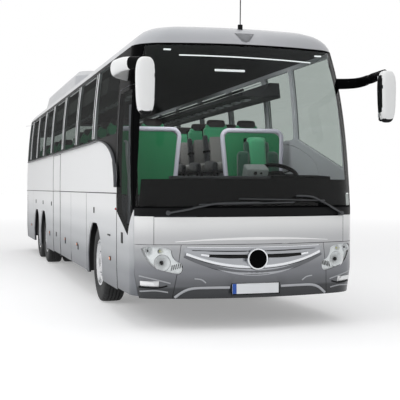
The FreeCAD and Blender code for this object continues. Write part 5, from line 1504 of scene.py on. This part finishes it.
@dataclass
class MirrorTrim:
    """Mirror heads: rounded white covers in black back frames, with two glasses each."""

    size: tuple = (0.195, 0.165, 0.555)
    power: float = 3.4
    taper: float = 0.14

    def build(self) -> None:
        """Make both heads."""
        for name, x, s in (("mirror_right", -1.32, -0.5175), ("mirror_left", 1.3775, -0.2475)):
            clay = Clay()
            centre = Vector((x, station(s), 2.4675))
            self._head(clay, centre)
            back = centre + Vector((0, self.size[1] / 2 - 0.012, 0))
            for glass, rise in (((0.140, 0.010, 0.27), 0.09), ((0.130, 0.010, 0.14), -0.15)):
                clay.pillow(glass, Matrix.Translation(back + UP * rise), 0.004, 0.0, 2, 2)
            finish_mesh(name + "_head", clay.bm, [NOSE_PAINT, SATIN_BLACK, MIRROR_GLASS], angle=50.0)

    def _head(self, clay: Clay, centre: Vector) -> None:
        """A rounded, slightly tapered head with a black rim at its foot, its inner side and its back.

        Args:
            clay: the mesh to add to.
            centre: the head's middle.
        """
        form = bmesh.new()
        bmesh.ops.create_cube(form, size=2.0)
        bmesh.ops.subdivide_edges(form, edges=form.edges[:], cuts=11, use_grid_fill=True)
        half = Vector(self.size) / 2
        for vert in form.verts:
            vert.co /= sum(abs(c) ** self.power for c in vert.co) ** (1 / self.power)
            narrow = 1 - self.taper * (1 - vert.co.z) / 2
            vert.co = Vector((vert.co.x * half.x * narrow, vert.co.y * half.y * narrow, vert.co.z * half.z))
        bmesh.ops.recalc_face_normals(form, faces=form.faces)
        inner = -1 if centre.x > 0 else 1
        for face in form.faces:
            middle = face.calc_center_median()
            rim = middle.y > 0.25 * half.y or middle.z < -0.86 * half.z or middle.x * inner > 0.80 * half.x
            face.material_index = 1 if rim else 0
        bmesh.ops.translate(form, vec=centre, verts=form.verts)
        clay.join(form)


@dataclass
class TailTrim:
    """Tail lamps' lenses, plate, reflectors and louvres at the rear."""

    def build(self) -> None:
        """Make the rear's trims."""
        clay = Clay()
        skin = Skin(["rear_wall", "rear_bumper", "engine_lid", "tail_lamps"])
        for k in range(9):
            z = 1.02 + 0.045 * k
            for x0, x1 in ((-0.62, -0.06), (0.06, 0.62)):
                line = [skin.tail(*point, 0.003) for point in spread([(x0, z), (x1, z)], 6)]
                clay.bar(line, 0.012, 8, 0.5)
        finish_mesh("engine_lid_louvres", clay.bm, [SATIN_BLACK], "engine_lid", angle=40.0)
        clay = Clay()
        y = skin.tail(0, 0.66, 0.006).y
        clay.pillow((0.54, 0.012, 0.125), Matrix.Translation((0.42, y, 0.64)), 0.005, 0.0, 0, 1)
        clay.pillow((0.52, 0.012, 0.108), Matrix.Translation((0.42, y + 0.004, 0.64)), 0.004, 0.0, 1, 1)
        for side in (-1, 1):
            p = skin.tail(side * 0.95, 0.45, 0.004)
            clay.pillow((0.10, 0.014, 0.045), Matrix.Translation(p), 0.004, 0.0, 2, 1)
            clay.bar([p + Vector((-side * 0.32, deep, -0.07)) for deep in (-0.03, 0.0)], 0.045, 18, index=3)
        finish_mesh("tail_trims", clay.bm, [SATIN_BLACK, PLATE_WHITE, RED_LENS, CHROME], angle=40.0)


@dataclass
class Studio:
    """Pale floor, plain soft light and the photograph's camera."""

    camera_x: float = -3.141
    camera_s: float = -8.734
    camera_z: float = 1.495
    yaw: float = 16.06
    lens: float = 79.17
    rise: float = -0.031

    def build(self) -> None:
        """Make the floor, the lights, the world and the camera."""
        self._floor()
        self._world()
        self._lamps()
        self._camera()

    def _floor(self) -> None:
        """A plain floor that is white to the eye but keeps the shadow."""
        bm = bmesh.new()
        bmesh.ops.create_grid(bm, x_segments=1, y_segments=1, size=150.0)
        mesh = bpy.data.meshes.new("studio_floor")
        bm.to_mesh(mesh)
        bm.free()
        material = bpy.data.materials.new("matt_white_floor")
        tree = empty_tree(material)
        matt = add_node(tree, "ShaderNodeBsdfDiffuse", {"Color": linear("#E2E2E3")})
        place = add_node(tree, "ShaderNodeTexCoord").outputs["Object"]
        far = add_node(tree, "ShaderNodeVectorMath", {"operation": "LENGTH"}, {0: place}).outputs["Value"]
        share = add_node(tree, "ShaderNodeMapRange", {"From Min": 7.0, "From Max": 45.0, "To Min": 0.30,
                                                      "To Max": 0.62}, {"Value": far}).outputs["Result"]
        glow = add_node(tree, "ShaderNodeEmission", {"Color": (1, 1, 1, 1)}, {"Strength": share})
        both = add_node(tree, "ShaderNodeAddShader", links={0: matt.outputs[0], 1: glow.outputs[0]})
        add_node(tree, "ShaderNodeOutputMaterial",
                 links={"Surface": mix_shaders(tree, seeing_rays(tree), matt, both)})
        mesh.materials.append(material)
        floor = bpy.data.objects.new("studio_floor", mesh)
        bpy.context.scene.collection.objects.link(floor)

    def _world(self) -> None:
        """White to the eye, to gloss and through glass; as light, a soft dome that is dimmer low down."""
        world = bpy.data.worlds.new("studio")
        bpy.context.scene.world = world
        tree = empty_tree(world)
        way = add_node(tree, "ShaderNodeTexCoord").outputs["Generated"]
        rise = add_node(tree, "ShaderNodeSeparateXYZ", links={"Vector": way}).outputs["Z"]
        dome = add_node(tree, "ShaderNodeMapRange", {"From Min": 0.0, "From Max": 0.45, "To Min": 0.28,
                                                     "To Max": 0.70}, {"Value": rise}).outputs["Result"]
        light = add_node(tree, "ShaderNodeBackground", {"Color": (1, 1, 1, 1)}, {"Strength": dome})
        seen = add_node(tree, "ShaderNodeBackground", {"Color": (1, 1, 1, 1), "Strength": 1.0})
        add_node(tree, "ShaderNodeOutputWorld",
                 links={"Surface": mix_shaders(tree, seeing_rays(tree), light, seen)})

    def _lamps(self) -> None:
        """Large soft lamps: key from the door side, front fill, light from above and in the cabin."""
        for name, place, aim, size, power in (
                ("key_soft", (-11.0, -6.0, 8.0), (0, -1.0, 1.4), 7.0, 430.0),
                ("front_soft", (-2.0, -17.0, 5.0), (0, -6.0, 1.5), 7.0, 215.0),
                ("top_soft", (0.0, -3.0, 12.0), (0, 0, 2.0), 10.0, 290.0),
                ("cabin_front", (0.0, station(1.5), 3.10), (0, station(2.2), 1.3), 1.2, 22.0),
                ("cabin_middle", (0.0, station(4.2), 3.10), (0, station(4.2), 1.3), 1.6, 26.0),
                ("cabin_rear", (0.0, station(8.5), 3.10), (0, station(8.5), 1.3), 1.8, 24.0)):
            light = bpy.data.lights.new(name, "AREA")
            light.shape = "SQUARE"
            light.size = size
            light.energy = power
            lamp = bpy.data.objects.new(name, light)
            lamp.location = place
            lamp.rotation_euler = (Vector(aim) - Vector(place)).to_track_quat("-Z", "Y").to_euler()
            lamp.visible_glossy = False
            bpy.context.scene.collection.objects.link(lamp)

    def _camera(self) -> None:
        """The photograph's camera, level, with a small vertical shift."""
        data = bpy.data.cameras.new("photo_camera")
        data.lens = self.lens
        data.sensor_width = 36.0
        data.shift_y = self.rise
        data.clip_end = 400.0
        camera = bpy.data.objects.new("photo_camera", data)
        camera.location = (self.camera_x, station(self.camera_s), self.camera_z)
        camera.rotation_euler = (math.radians(90), 0.0, -math.radians(self.yaw))
        bpy.context.scene.collection.objects.link(camera)
        bpy.context.scene.camera = camera


def main() -> None:
    """Build every sub-assembly in order."""
    logging.basicConfig(level=logging.INFO, format="%(name)s %(message)s")
    bpy.context.scene.view_settings.view_transform = "Standard"
    for kind in (Studio, BodyShell, WheelSet, NoseTrim, FlankTrim, MirrorTrim, RoofKit, TailTrim, Cabin):
        kind().build()


if __name__ == "__main__":
    main()
